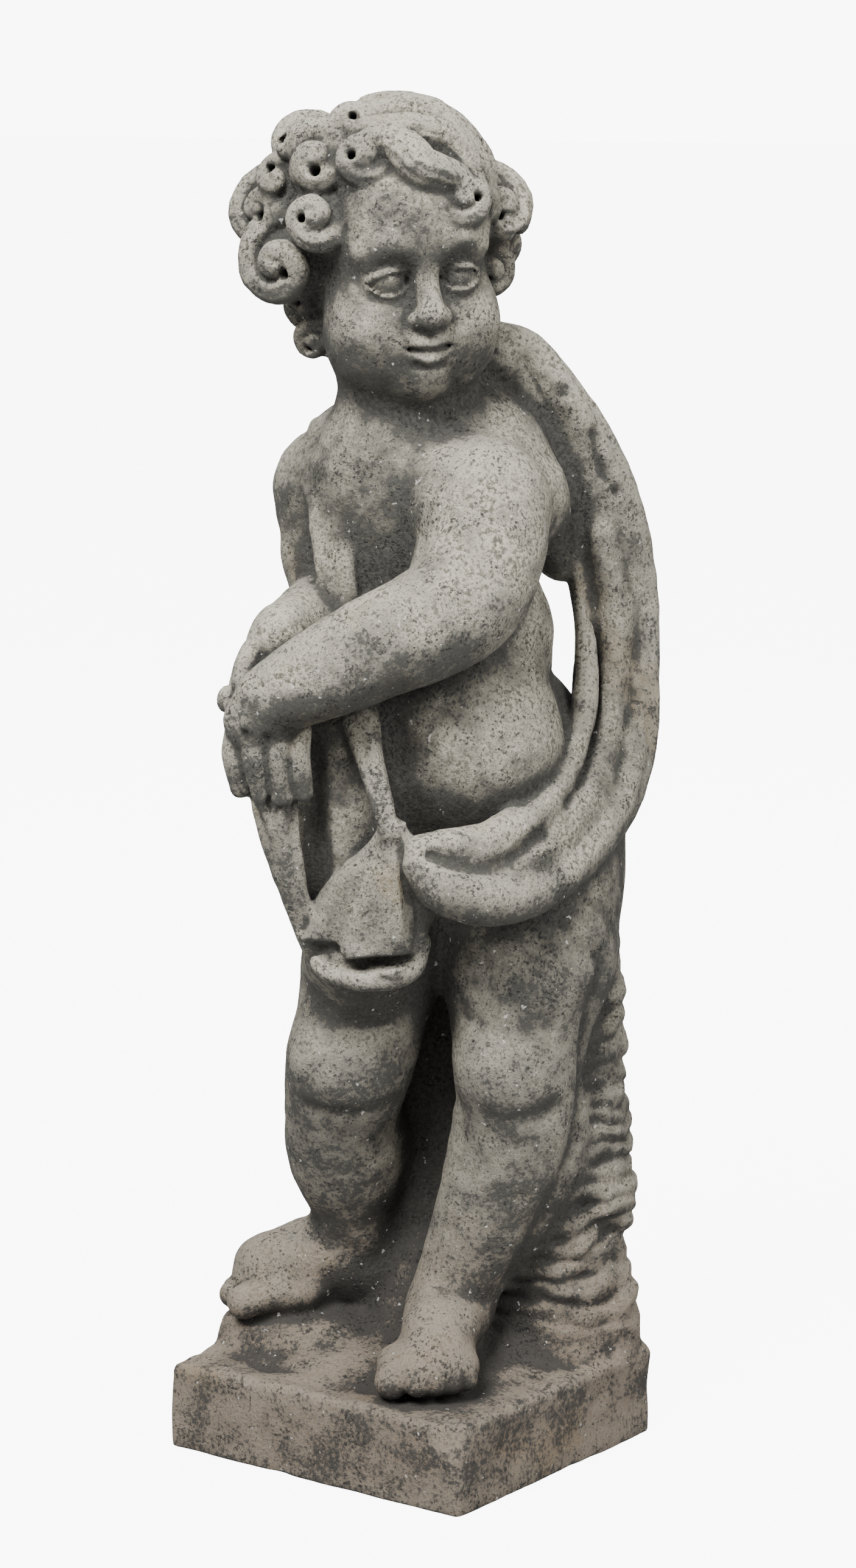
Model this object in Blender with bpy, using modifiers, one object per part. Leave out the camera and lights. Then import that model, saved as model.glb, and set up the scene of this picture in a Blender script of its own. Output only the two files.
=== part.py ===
"""Garden statue of a standing putto, cast in stone in one piece with its plinth.

The child stands with the left leg forward and the arms crossed over the belly, one hand on the
other wrist, with a gathered end of cloth under it. The cloth crosses the breast, ends in an apron
on the right thigh, and sweeps from the back of the neck round the left hip. A tree stump behind
the legs carries the weight. The face is a plain child's face, drawn from general proportions.

The figure is built up like clay: masses and limbs are fused and smoothed into the body, then
cloth, hair, fingers and toes are laid on it and fused again. The plinth is a bevelled block that
the figure's foot is joined to.
"""
import math

import bmesh
import bpy
import numpy as np
from mathutils import Matrix, Vector

# Driving dimensions, in metres
plinth_width = 0.298
plinth_depth = 0.276
plinth_height = 0.077
plinth_edge = 0.006
figure_height = 1.032
figure_turn = math.radians(37)

# The figure's tables are in shares of its height. The plinth's top lies at ground in them. The
# statue is laid out as it is seen over the plinth's near corner: x runs right, y away and z up.
shares_in_height = 103.2
ground = 7.0
unit = figure_height / shares_in_height

# How finely the clay is fused, in shares, and how many triangles are left
body_grain = 0.42
detail_grain = 0.36
body_smoothing = 24
body_regain = 0.24
detail_smoothing = 2
detail_regain = 0.04
triangles_kept = 8600

head_centre = Vector((-1.0, -1.6, 97.0))
crown_centre = Vector((0, 1.5, 2.0))


def turned(yaw=0, pitch=0, roll=0):
    """Rotation by roll about y, then pitch about x, then yaw about z, in degrees."""
    about_z = Matrix.Rotation(math.radians(yaw), 3, "Z")
    about_x = Matrix.Rotation(math.radians(pitch), 3, "X")
    about_y = Matrix.Rotation(math.radians(roll), 3, "Y")
    return about_z @ about_x @ about_y


head_frame = turned(yaw=17) @ turned(pitch=9) @ turned(roll=-4)
torso_frame = turned(yaw=-37)


def on_head(place):
    """A place given in the head's own frame, where the face looks along -y."""
    return head_centre + head_frame @ Vector(place)


def smooth_path(rows, steps):
    """Rows of a Catmull-Rom curve through the given rows."""
    rows = np.array(rows, dtype=float)
    rows = np.vstack([2 * rows[0] - rows[1], rows, 2 * rows[-1] - rows[-2]])
    t = np.linspace(0, 1, steps, endpoint=False)[:, None]
    path = [0.5 * (2 * b + (c - a) * t + (2 * a - 5 * b + 4 * c - d) * t ** 2
                   + (3 * b - a - 3 * c + d) * t ** 3)
            for a, b, c, d in zip(rows, rows[1:], rows[2:], rows[3:])]
    return np.vstack(path + [rows[-2:-1]])


def add_lump(clay, lump):
    """Weld a small closed shape and put it with the others, as a mesh."""
    bmesh.ops.remove_doubles(lump, verts=lump.verts, dist=0.0001)
    bmesh.ops.recalc_face_normals(lump, faces=lump.faces)
    mesh = bpy.data.meshes.new("lump")
    lump.to_mesh(mesh)
    lump.free()
    clay.append(mesh)


def add_mass(clay, centre, radii, turn=Matrix.Identity(3)):
    """An ellipsoid with its three radii along its own axes. The clay is a list of closed meshes."""
    place = Matrix.Translation(Vector(centre)) @ turn.to_4x4() @ Matrix.Diagonal((*radii, 1))
    ball = bmesh.new()
    bmesh.ops.create_uvsphere(ball, u_segments=32, v_segments=20, radius=1, matrix=place)
    add_lump(clay, ball)


def add_limb(clay, rows, steps=6):
    """A round-ended tube of changing radius through rows of x, y, z and radius."""
    path = smooth_path(rows, steps)
    curve = bpy.data.curves.new("limb", "CURVE")
    curve.dimensions = "3D"
    curve.bevel_depth = 1
    curve.bevel_resolution = 5
    curve.use_fill_caps = True
    spline = curve.splines.new("POLY")
    spline.points.add(len(path) - 1)
    for point, (x, y, z, radius) in zip(spline.points, path):
        point.co = (x, y, z, 1)
        point.radius = radius
    holder = bpy.data.objects.new("limb", curve)
    bpy.context.scene.collection.objects.link(holder)
    solid = bpy.data.meshes.new_from_object(
        holder.evaluated_get(bpy.context.evaluated_depsgraph_get()))
    tube = bmesh.new()
    tube.from_mesh(solid)
    add_lump(clay, tube)
    bpy.data.meshes.remove(solid)
    bpy.data.objects.remove(holder)
    bpy.data.curves.remove(curve)
    for x, y, z, radius in (path[0], path[-1]):
        add_mass(clay, (x, y, z), (radius, radius, radius))


def add_band(clay, rows, sides, folds, steps=7, corners=36):
    """A thick strip of cloth, lofted by hand because its width turns along its way.

    The rows hold x, y, z, half the width and half the thickness, the sides the direction of the
    width, and folds gives the height of a fold at an angle round the strip and a share of its way.
    """
    path = smooth_path(rows, steps)
    across = smooth_path(sides, steps)
    along = np.gradient(path[:, :3], axis=0)
    along /= np.linalg.norm(along, axis=1)[:, None]
    across -= (across * along).sum(1)[:, None] * along
    across /= np.linalg.norm(across, axis=1)[:, None]
    outward = np.cross(along, across)
    angles = 2 * math.pi * np.arange(corners) / corners
    strip = bmesh.new()
    rings = []
    for index, (x, y, z, half_width, half_thickness) in enumerate(path):
        rise = folds(angles, index / (len(path) - 1))
        wide = ((half_width + rise) * np.cos(angles))[:, None] * across[index]
        deep = ((half_thickness + rise) * np.sin(angles))[:, None] * outward[index]
        rings.append([strip.verts.new(place) for place in np.array((x, y, z)) + wide + deep])
    for ring, following in zip(rings, rings[1:]):
        for corner in range(corners):
            beside = (corner + 1) % corners
            strip.faces.new((ring[corner], ring[beside], following[beside], following[corner]))
    strip.faces.new(list(reversed(rings[0])))
    strip.faces.new(rings[-1])
    add_lump(clay, strip)


def add_curl(clay, centre, axis, size, start, hand):
    """A snail curl: a tapering tube that winds in to a knob, on a round cushion of hair."""
    axis = Vector(axis).normalized()
    right = Vector((0, 0, 1)).cross(axis).normalized()
    up = axis.cross(right)
    centre = Vector(centre)
    add_mass(clay, centre - 0.80 * size * axis, (0.98 * size,) * 3)
    turns = 1.3
    steps = 18
    rows = []
    for step in range(steps):
        share = step / (steps - 1)
        angle = math.radians(start) + hand * 2 * math.pi * turns * share
        tube = size * (0.34 - 0.10 * share)
        reach = (size - tube) * (1 - 0.96 * share)
        lift = size * (0.35 * share - 0.15)
        place = centre + reach * (math.cos(angle) * right + math.sin(angle) * up) + lift * axis
        rows.append((*place, tube))
    add_limb(clay, rows, steps=1)


def fuse(clay, name, grain, smoothing, regain):
    """Turn the overlapping lumps into one closed skin, smoothed, and swollen by what that took."""
    gathered = bmesh.new()
    for lump in clay:
        gathered.from_mesh(lump)
        bpy.data.meshes.remove(lump)
    mesh = bpy.data.meshes.new(name)
    gathered.to_mesh(mesh)
    gathered.free()
    skin = bpy.data.objects.new(name, mesh)
    bpy.context.scene.collection.objects.link(skin)
    remesh = skin.modifiers.new("one skin", "REMESH")
    remesh.mode = "VOXEL"
    remesh.voxel_size = grain
    smooth = skin.modifiers.new("worn", "SMOOTH")
    smooth.factor = 0.5
    smooth.iterations = round(smoothing)
    swell = skin.modifiers.new("regain", "DISPLACE")
    swell.strength = regain
    swell.mid_level = 0
    fused = bpy.data.meshes.new_from_object(
        skin.evaluated_get(bpy.context.evaluated_depsgraph_get()))
    bpy.data.objects.remove(skin)
    bpy.data.meshes.remove(mesh)
    return fused


def keep_outer_skin(mesh):
    """Drop the small closed skins of pockets that the lumps trap between them."""
    skin = bmesh.new()
    skin.from_mesh(mesh)
    unseen = set(skin.verts)
    groups = []
    while unseen:
        group = {unseen.pop()}
        edge_of_group = list(group)
        while edge_of_group:
            vertex = edge_of_group.pop()
            for edge in vertex.link_edges:
                other = edge.other_vert(vertex)
                if other in unseen:
                    unseen.remove(other)
                    group.add(other)
                    edge_of_group.append(other)
        groups.append(group)
    outer = max(groups, key=len)
    bmesh.ops.delete(skin, geom=[vertex for vertex in skin.verts if vertex not in outer],
                     context="VERTS")
    skin.to_mesh(mesh)
    skin.free()


def shape_ground(clay):
    """The mound on the plinth that the feet and the stump grow from."""
    add_mass(clay, (-1.0, 3.0, 6.0), (12.0, 10.6, 2.6), torso_frame)
    add_mass(clay, (-9.0, 3.8, 7.4), (6.2, 4.6, 2.6), turned(yaw=-17))
    add_mass(clay, (7.4, 4.0, 6.5), (8.4, 6.8, 3.8), torso_frame)


def shape_stump(clay):
    """The broken tree stump behind the legs, with its knots and roots."""
    add_limb(clay, [(12.8, 2.6, 38.5, 3.2), (12.7, 2.0, 33, 4.4), (12.5, 1.6, 25, 5.1),
                    (11.8, 1.8, 16, 5.0), (11.4, 1.8, 8, 5.2)])
    add_limb(clay, [(5.6, 7.0, 47, 4.6), (4.8, 7.2, 36, 5.0), (4.6, 7.0, 22, 5.2), (4.6, 6.4, 8, 5.8)])
    add_mass(clay, (8.6, 4.6, 25), (6.2, 4.6, 18), torso_frame)
    add_mass(clay, (15.9, 0.8, 20.5), (2.2, 3.0, 3.2))
    add_mass(clay, (15.0, 1.6, 36), (2.0, 2.6, 2.4))
    add_limb(clay, [(9, 3, 14, 2.2), (8.5, -0.5, 9, 1.9), (7.5, -3, 7, 1.0)])
    add_limb(clay, [(2.0, 3.0, 15, 2.6), (-1.0, 0.8, 10, 2.0), (-2, -1, 7, 1.0)])
    add_limb(clay, [(2.0, 7.6, 14, 3.4), (-0.5, 9.0, 9, 2.6), (-2, 10, 6.5, 1.6)])


def shape_legs(clay):
    """Both legs down to the insteps, the left one forward."""
    add_limb(clay, [(8.8, 0.5, 50, 7.6), (9.3, -1.3, 43, 7.1), (8.8, -3.0, 37, 6.1),
                    (8.6, -4.3, 31.5, 5.2), (8.5, -3.2, 26, 5.5), (6.4, -3.0, 19.5, 4.7),
                    (4.0, -3.4, 14.5, 3.7), (2.9, -4.0, 12, 3.4)])
    add_mass(clay, (7.6, -6.9, 32.6), (3.8, 3.2, 3.8))
    add_mass(clay, (9.8, -3.0, 40.0), (6.0, 5.8, 4.6))
    add_mass(clay, (9.6, -1.0, 25.5), (4.6, 4.8, 6.0))
    add_limb(clay, [(3.0, -3.2, 10.8, 3.4), (2.1, -7.5, 10.6, 3.3), (1.5, -11.3, 9.2, 2.6)])
    add_mass(clay, (1.3, -10.6, 9.0), (4.2, 3.9, 2.2), turned(yaw=-5))
    add_limb(clay, [(-1.0, 1.8, 50, 7.3), (-2.6, 0.2, 43, 6.4), (-3.9, -0.8, 36.5, 5.5),
                    (-5.0, -0.8, 31.8, 5.3), (-5.8, 0.8, 27.5, 4.8), (-5.4, 2.6, 23.5, 4.6),
                    (-4.9, 3.8, 18.5, 3.6), (-4.9, 4.6, 14.2, 3.2)])
    add_mass(clay, (-5.6, -3.2, 32.4), (3.8, 3.0, 3.8))
    add_mass(clay, (-5.4, 3.2, 23.5), (4.6, 4.4, 5.4))
    add_limb(clay, [(-3.6, 5.4, 12.8, 3.3), (-7.4, 4.9, 13.6, 3.5), (-11, 4.2, 12.6, 3.1),
                    (-12.8, 3.8, 11.6, 2.5)])
    add_mass(clay, (-10.8, 4.0, 11.2), (4.1, 4.3, 2.3), turned(yaw=15))
    add_mass(clay, (-12.2, 5.0, 13.0), (2.8, 3.2, 2.4))


def shape_torso(clay):
    """Hips, belly, breast and shoulders, which face the plinth's front, and the neck."""
    for centre, radii in (
            ((4.0, 1.2, 52.5), (9.2, 7.8, 8.0)),
            ((3.6, -2.6, 58.2), (9.0, 8.2, 8.8)),
            ((8.2, 3.6, 57.0), (5.9, 6.3, 7.4)),
            ((0.6, 7.0, 55.0), (5.9, 5.7, 7.0)),
            ((3.2, 1.2, 67.0), (8.9, 7.8, 7.4)),
            ((0.8, 0.8, 73.5), (9.3, 7.6, 8.2)),
            ((-1.2, 0.3, 78.6), (9.4, 5.7, 5.4)),
            ((2.6, -4.2, 74.5), (4.1, 3.3, 3.7)),
            ((-3.6, -0.2, 74.5), (4.1, 3.9, 3.7)),
            ((5.4, -5.0, 77.3), (5.4, 5.4, 5.4)),
            ((-6.8, 4.4, 78.2), (4.3, 4.6, 4.8))):
        add_mass(clay, centre, radii, torso_frame)
    add_limb(clay, [(-2.2, 0.2, 80, 6.0), (-1.4, -0.2, 84.5, 4.9), (-0.6, -0.4, 89, 4.9)])
    add_limb(clay, [(0.5, 1.5, 84, 4.2), (4.5, 1.0, 81.5, 4.9), (8.0, 0.5, 77.5, 4.8)])


def shape_arms(clay):
    """The left arm across the belly, and the right arm bent over it."""
    add_limb(clay, [(5.4, -5.6, 77.2, 5.5), (5.2, -8.0, 73.6, 5.2), (3.2, -10.6, 70.0, 4.7),
                    (-2.4, -12.8, 67.4, 4.2), (-7.3, -13.2, 65.1, 3.6), (-10.9, -12.8, 63.2, 2.9)])
    add_mass(clay, (-11.9, -12.6, 61.5), (2.8, 2.2, 2.7), turned(roll=20))
    add_limb(clay, [(-6.8, 4.4, 78, 4.2), (-7.0, 3.5, 73.5, 3.9), (-6.5, 1.5, 69.5, 3.6),
                    (-8.4, -3.5, 68.2, 3.0), (-10.0, -7.5, 67.6, 2.6)])
    add_mass(clay, (-10.5, -8.8, 67.4), (2.4, 2.7, 2.9), turned(roll=30))


def shape_head(clay):
    """The bare skull and the broad forms of a child's face."""
    for centre, radii in (
            ((0, 1.6, 3.4), (6.9, 8.0, 7.4)),
            ((0, -1.4, -3.6), (6.4, 6.4, 6.8)),
            ((3.6, -3.4, -4.6), (3.5, 3.9, 4.0)),
            ((-3.6, -3.4, -4.6), (3.5, 3.9, 4.0)),
            ((0, -5.5, -8.4), (2.6, 2.4, 2.4)),
            ((0, -3.0, 3.6), (6.2, 5.3, 5.6)),
            ((0, 2.6, 3.2), (7.6, 7.7, 7.9)),
            ((0, 5.0, -1.0), (6.8, 5.0, 7.2))):
        add_mass(clay, on_head(centre), radii, head_frame)


def lay_features(clay):
    """Nose, brows, eyelids, lips and ears."""
    for centre, radii in (
            ((0, -8.9, -3.3), (1.2, 1.2, 1.0)),
            ((1.15, -8.0, -3.6), (0.85, 1.0, 0.8)),
            ((-1.15, -8.0, -3.6), (0.85, 1.0, 0.8)),
            ((0, -7.1, -6.2), (2.0, 1.2, 1.4))):
        add_mass(clay, on_head(centre), radii, head_frame)
    nose = [(0, -7.2, 1.2, 0.9), (0, -7.9, -1.2, 0.95), (0, -8.8, -3.1, 1.1)]
    upper_lip = [(-1.7, -7.5, -6.1, 0.4), (0, -8.3, -5.9, 0.5), (1.7, -7.5, -6.1, 0.4)]
    lower_lip = [(-1.2, -7.6, -6.8, 0.4), (0, -8.1, -7.0, 0.55), (1.2, -7.6, -6.8, 0.4)]
    lines = [nose, upper_lip, lower_lip]
    for side in (-1, 1):
        lines.append([(1.2 * side, -7.4, 1.6, 0.6), (2.8 * side, -7.4, 2.2, 0.6), (4.8 * side, -5.9, 1.5, 0.5)])
        add_mass(clay, on_head((2.9 * side, -6.5, -0.6)), (1.7, 1.4, 1.1), head_frame)
        add_mass(clay, on_head((6.8 * side, 1.5, -2.2)), (0.9, 1.7, 2.4), head_frame)
    for line in lines:
        add_limb(clay, [(*on_head(row[:3]), row[3]) for row in line])


def lay_hair(clay):
    """Snail curls round the face, swept locks over the crown, and even curls at the back."""
    face_curls = [  # centre, size, where the curl starts in degrees, and which way it winds
        ((-5.0, -5.6, 107.0), 2.4, 200, 1),
        ((-7.4, -6.8, 104.4), 2.7, 150, -1),
        ((-3.8, -8.6, 104.8), 2.4, 60, -1),
        ((-7.6, -7.9, 100.0), 2.6, 60, -1),
        ((-10.6, -5.2, 96.2), 3.0, 90, 1),
        ((-12.2, -2.0, 100.2), 2.4, 90, 1),
        ((4.3, -8.6, 101.6), 2.3, 120, 1),
        ((7.2, -2.6, 100.6), 2.7, 100, -1),
        ((-9.0, -1.6, 105.8), 2.4, 30, 1),
        ((-10.6, -3.0, 103.0), 2.3, 250, 1),
        ((-7.9, -2.4, 90.0), 1.7, 0, 1),
        ((-8.5, -2.4, 92.8), 1.9, 0, -1),
        ((6.4, -1.2, 95.4), 2.0, 90, -1),
        ((7.0, -0.4, 97.8), 2.1, 200, 1),
    ]
    middle = on_head(crown_centre)
    to_viewer = Vector((0, -0.85, 0.05))
    placed = []
    for centre, size, start, hand in face_curls:
        outward = (Vector(centre) - middle).normalized()
        add_curl(clay, centre, 0.55 * outward + to_viewer, size, start, hand)
        placed.append(Vector(centre))
    # The back of the head carries curls of one size, spread as evenly as seeds in a sunflower
    seeds = 120
    spacing = 4.2
    golden_angle = math.pi * (3 - math.sqrt(5))
    for seed in range(seeds):
        height = 1 - 2 * (seed + 0.5) / seeds
        level = math.sqrt(1 - height * height)
        outward = Vector((level * math.cos(seed * golden_angle), level * math.sin(seed * golden_angle), height))
        local = head_frame.transposed() @ outward
        if local.y < 0.05 or height < -0.62:
            continue
        place = middle + head_frame @ Vector((8.8 * local.x, 9.6 * local.y, 9.3 * local.z))
        if min((place - other).length for other in placed) < spacing:
            continue
        placed.append(place)
        add_curl(clay, place, outward, 2.6, 137 * len(placed), 1 if len(placed) % 2 else -1)
    for lock in ([(-3.6, -6.4, 106.0, 1.2), (-1.2, -8.2, 106.0, 1.5), (1.4, -8.8, 104.9, 1.6),
                  (3.4, -8.6, 103.6, 1.2), (4.6, -7.6, 103.2, 0.9)],
                 [(-4.0, -4.4, 107.6, 1.3), (-1.4, -6.0, 107.8, 1.6), (1.6, -6.6, 106.8, 1.8),
                  (4.4, -6.2, 104.8, 1.6), (6.4, -5.0, 102.4, 1.2)],
                 [(-3.6, -1.4, 107.9, 1.5), (-0.4, -2.2, 108.2, 1.8), (3.0, -2.8, 107.0, 1.9),
                  (5.8, -2.6, 104.8, 1.6), (7.4, -2.0, 102.0, 1.2)],
                 [(-3.8, 1.6, 107.8, 1.7), (0.0, 1.4, 108.2, 1.8), (3.8, 1.0, 106.4, 1.9),
                  (6.6, 0.8, 103.0, 1.7), (7.6, 0.6, 99.6, 1.3)]):
        add_limb(clay, lock)


def lay_hands_and_feet(clay):
    """Fingers and toes."""
    for x, y, z in ((-13.6, -11.7, 58.6), (-12.0, -12.8, 58.4), (-10.35, -12.9, 58.2), (-8.7, -12.3, 58.4)):
        add_limb(clay, [(x, y + 0.3, z + 2.3, 1.0), (x - 0.15, y - 0.3, z, 1.0), (x + 0.25, y + 0.1, z - 2.0, 0.9)])
    for x, y, z in ((-12.6, -9.6, 66.4), (-12.9, -8.2, 65.6), (-13.0, -6.8, 65.0)):
        add_limb(clay, [(x + 1.6, y, z + 1.6, 1.0), (x, y - 0.6, z, 1.0), (x - 0.6, y - 2.2, z - 2.0, 0.9)])
    for x, y, radius in ((-1.7, -13.6, 1.5), (0.4, -14.4, 1.25), (1.9, -14.2, 1.15), (3.3, -13.6, 1.1),
                         (4.5, -12.6, 1.05)):
        add_limb(clay, [(x + 0.1, y + 3.0, 9.0, radius), (x, y, 8.2, radius)], steps=1)
    for x, y, radius in ((-13.9, 0.8, 1.5), (-15.0, 3.0, 1.25), (-14.9, 4.7, 1.15), (-14.2, 6.2, 1.1),
                         (-13.1, 7.5, 1.05)):
        add_limb(clay, [(x + 3.0, y + 0.3, 11.7, radius), (x, y, 10.7, radius)], steps=1)


def sweep_folds(angle, share):
    """Two sets of shallow folds that drift round the hanging cloth."""
    return 0.27 * np.cos(3 * angle + 5 * share) + 0.25 * np.cos(5 * angle - 8 * share)


def apron_folds(angle, share):
    """Folds that fan out from the knot and deepen towards the hem."""
    return 0.45 * np.cos(6 * angle + 1) * min(1.5 * share, 1)


def lay_cloth(clay):
    """The sweep round the hip, the strip over neck and breast, the apron and the gathered end."""
    sweep = [(6.2, 3.2, 88.7, 2.4, 2.2), (8.4, 3.8, 87.9, 2.7, 2.2), (10.6, 3.8, 85.2, 2.8, 2.2),
             (13.0, 5.0, 80.9, 3.1, 2.4), (14.9, 6.5, 75.7, 3.4, 2.6), (16.3, 7.5, 68.8, 3.3, 2.8),
             (16.5, 7.0, 62.3, 3.2, 2.8), (16.0, 5.0, 57.2, 3.4, 2.9), (14.0, 0.5, 52.9, 3.9, 3.0),
             (10.6, -6.2, 50.0, 4.4, 2.9), (7.0, -11.0, 48.9, 4.4, 2.8), (3.4, -13.2, 49.3, 3.7, 2.6),
             (1.6, -13.5, 49.6, 2.6, 2.0)]
    sweep_sides = [(0.3, 0.6, 1), (0.7, 0.2, 0.8), (0.9, 0, 0.4), (0.9, 0, 0.4), (1, 0, 0.2), (1, 0, 0),
                   (1, 0, 0), (1, 0, -0.3), (0.8, 0, -0.7), (0.3, 0, -1), (0, 0, -1), (0, 0, -1), (0, 0, -1)]
    add_band(clay, sweep, sweep_sides, sweep_folds)
    add_limb(clay, [(3, 4.0, 86, 3.6), (7, 3.6, 82, 3.8), (10.2, 4.4, 77, 3.2), (12.2, 6.0, 72.6, 2.4)])
    add_limb(clay, [(7, 4.2, 87.6, 2.4), (2.5, 6.0, 86.0, 2.2), (-2.5, 6.0, 84.0, 2.2), (-6.0, 3.6, 82.4, 2.2),
                    (-7.6, -0.5, 79.6, 2.0), (-7.4, -3.6, 76.0, 1.8), (-7.4, -5.2, 72, 1.7), (-6.6, -5.6, 67, 1.7)])
    add_limb(clay, [(-5.2, -6.0, 64, 1.7), (-4.6, -8.6, 60, 1.7), (-3.2, -10.8, 56, 1.6), (-1.2, -12.4, 52.8, 1.8)])
    add_limb(clay, [(14.8, 4.6, 56, 3.3), (14.4, 4.2, 50, 3.5), (13.7, 3.6, 45, 3.6), (13.0, 3.0, 40, 3.6)])
    add_mass(clay, (10.5, 3.2, 47), (5.4, 5.4, 8.0))
    apron = [(-1.2, -12.2, 53.5, 1.0, 1.2), (-2.2, -11.4, 50.5, 2.4, 2.2), (-3.1, -10.2, 46, 4.0, 3.2),
             (-3.4, -9.0, 42.0, 4.9, 3.6), (-3.4, -8.2, 39.6, 5.1, 3.6)]
    add_band(clay, apron, [(1, -0.2, 0)] * len(apron), apron_folds)
    add_limb(clay, [(-10.8, -11.6, 57.5, 2.5), (-10.5, -11.3, 54, 2.1), (-9.7, -10.5, 50, 1.6),
                    (-7.8, -9.0, 43, 1.0)])
    add_limb(clay, [(-7.2, -6.5, 58, 2.6), (-7.4, -6.8, 51, 2.5), (-6.4, -6.0, 44, 2.2)])


def carve_figure():
    """The figure with its stump and mound, placed on the plinth in metres, as a mesh."""
    clay = []
    for shape in (shape_ground, shape_stump, shape_legs, shape_torso, shape_arms, shape_head):
        shape(clay)
    clay = [fuse(clay, "body", body_grain, body_smoothing, body_regain)]
    for lay in (lay_features, lay_hair, lay_hands_and_feet, lay_cloth):
        lay(clay)
    figure = fuse(clay, "figure", detail_grain, detail_smoothing, detail_regain)
    keep_outer_skin(figure)
    lift = Matrix.Translation((0, 0, plinth_height - ground * unit))
    figure.transform(lift @ Matrix.Rotation(figure_turn, 4, "Z") @ Matrix.Scale(unit, 4))
    return figure


def make_plinth(cutters):
    """The block under the figure, with worn edges. It is joined to the figure and not built."""
    bpy.ops.mesh.primitive_cube_add(size=1, location=(0, 0, plinth_height / 2))
    plinth = bpy.context.object
    plinth.name = "plinth"
    plinth.data.transform(Matrix.Diagonal((plinth_width, plinth_depth, plinth_height, 1)))
    edge = plinth.modifiers.new("worn edges", "BEVEL")
    edge.width = plinth_edge
    edge.segments = 2
    plinth.hide_render = True
    plinth.display_type = "WIRE"
    for collection in plinth.users_collection:
        collection.objects.unlink(plinth)
    cutters.objects.link(plinth)
    return plinth


def cast_stone():
    """Grey cast stone with a sandy, matt surface."""
    material = bpy.data.materials.new("cast stone")
    material.use_nodes = True
    shader = material.node_tree.nodes["Principled BSDF"]
    shader.inputs["Base Color"].default_value = (0.36, 0.34, 0.30, 1)
    shader.inputs["Roughness"].default_value = 0.92
    shader.inputs["Metallic"].default_value = 0
    return material


def make_statue(parts, cutters):
    """Join the figure to the plinth as one casting."""
    statue = bpy.data.objects.new("putto_statue", carve_figure())
    parts.objects.link(statue)
    fewer = statue.modifiers.new("fewer triangles", "DECIMATE")
    fewer.ratio = triangles_kept / (2 * len(statue.data.polygons))
    join = statue.modifiers.new("one casting", "BOOLEAN")
    join.operation = "UNION"
    join.object = make_plinth(cutters)
    statue.data.materials.clear()
    statue.data.materials.append(cast_stone())
    return statue


for old in list(bpy.data.objects):
    bpy.data.objects.remove(old)
parts_collection = bpy.data.collections.new("putto statue")
cutters_collection = bpy.data.collections.new("cutters")
bpy.context.scene.collection.children.link(parts_collection)
bpy.context.scene.collection.children.link(cutters_collection)
make_statue(parts_collection, cutters_collection)
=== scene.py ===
"""Looks of a cast stone putto: the whole casting modelled finely as one carved volume.

The statue is built up as a carver's clay would be, in a grid of distances to its surface: masses
and limbs are joined with soft fillets, cloth and curls are laid on, creases are cut, and the skin
of the volume becomes the mesh. All places are in shares of the figure's height, in a layout seen
over the plinth's near corner: x runs right, y away from the viewer and z up.
"""
import math

import bpy
import numpy as np
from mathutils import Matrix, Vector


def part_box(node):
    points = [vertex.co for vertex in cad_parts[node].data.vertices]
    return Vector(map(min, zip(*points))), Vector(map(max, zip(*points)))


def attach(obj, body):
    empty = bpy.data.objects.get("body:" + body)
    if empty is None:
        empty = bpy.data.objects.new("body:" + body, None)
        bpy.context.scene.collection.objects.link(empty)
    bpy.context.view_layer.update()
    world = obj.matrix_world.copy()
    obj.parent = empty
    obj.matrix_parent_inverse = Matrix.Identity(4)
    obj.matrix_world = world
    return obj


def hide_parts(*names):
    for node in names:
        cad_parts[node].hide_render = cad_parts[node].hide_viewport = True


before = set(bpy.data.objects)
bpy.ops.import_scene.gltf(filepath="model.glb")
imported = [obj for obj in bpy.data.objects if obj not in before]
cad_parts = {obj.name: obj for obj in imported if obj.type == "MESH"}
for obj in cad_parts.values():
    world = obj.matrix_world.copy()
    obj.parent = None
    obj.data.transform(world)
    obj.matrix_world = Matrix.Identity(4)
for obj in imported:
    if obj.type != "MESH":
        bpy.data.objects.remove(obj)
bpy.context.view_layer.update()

# The volume: cast stone poured in one mould, so plinth, stump, child and cloth are one body.
# It is a block of distances, negative inside, finer than the thickness of a lip or a curl.
shares_in_height = 110.7
layout_turn = 37
cad_low, cad_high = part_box("putto_statue")
unit = (cad_high.z - cad_low.z) / shares_in_height
floor_level = -0.7
cad_points = np.empty(3 * len(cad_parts["putto_statue"].data.vertices), np.float32)
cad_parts["putto_statue"].data.vertices.foreach_get("co", cad_points)
cad_points = cad_points.reshape(-1, 3)
plinth_corner = cad_points[cad_points[:, 2] < cad_low.z + 0.02].max(0)
plinth_half_width = float(plinth_corner[0]) / unit
plinth_half_depth = float(plinth_corner[1]) / unit
grain = 0.24
volume_low = np.array((-24.0, -22.0, floor_level - 1.3))
volume_high = np.array((24.0, 24.0, 113.0))
cells = np.ceil((volume_high - volume_low) / grain).astype(int) + 1
far = 4.0
volume = np.full(cells, far, np.float32)


def turned(yaw=0, pitch=0, roll=0):
    """Rotation matrix: roll about y, then pitch about x, then yaw about z, in degrees."""
    a, b, c = np.radians((yaw, pitch, roll))
    about_z = np.array(((np.cos(a), -np.sin(a), 0), (np.sin(a), np.cos(a), 0), (0, 0, 1)))
    about_x = np.array(((1, 0, 0), (0, np.cos(b), -np.sin(b)), (0, np.sin(b), np.cos(b))))
    about_y = np.array(((np.cos(c), 0, np.sin(c)), (0, 1, 0), (-np.sin(c), 0, np.cos(c))))
    return about_z @ about_x @ about_y


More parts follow.
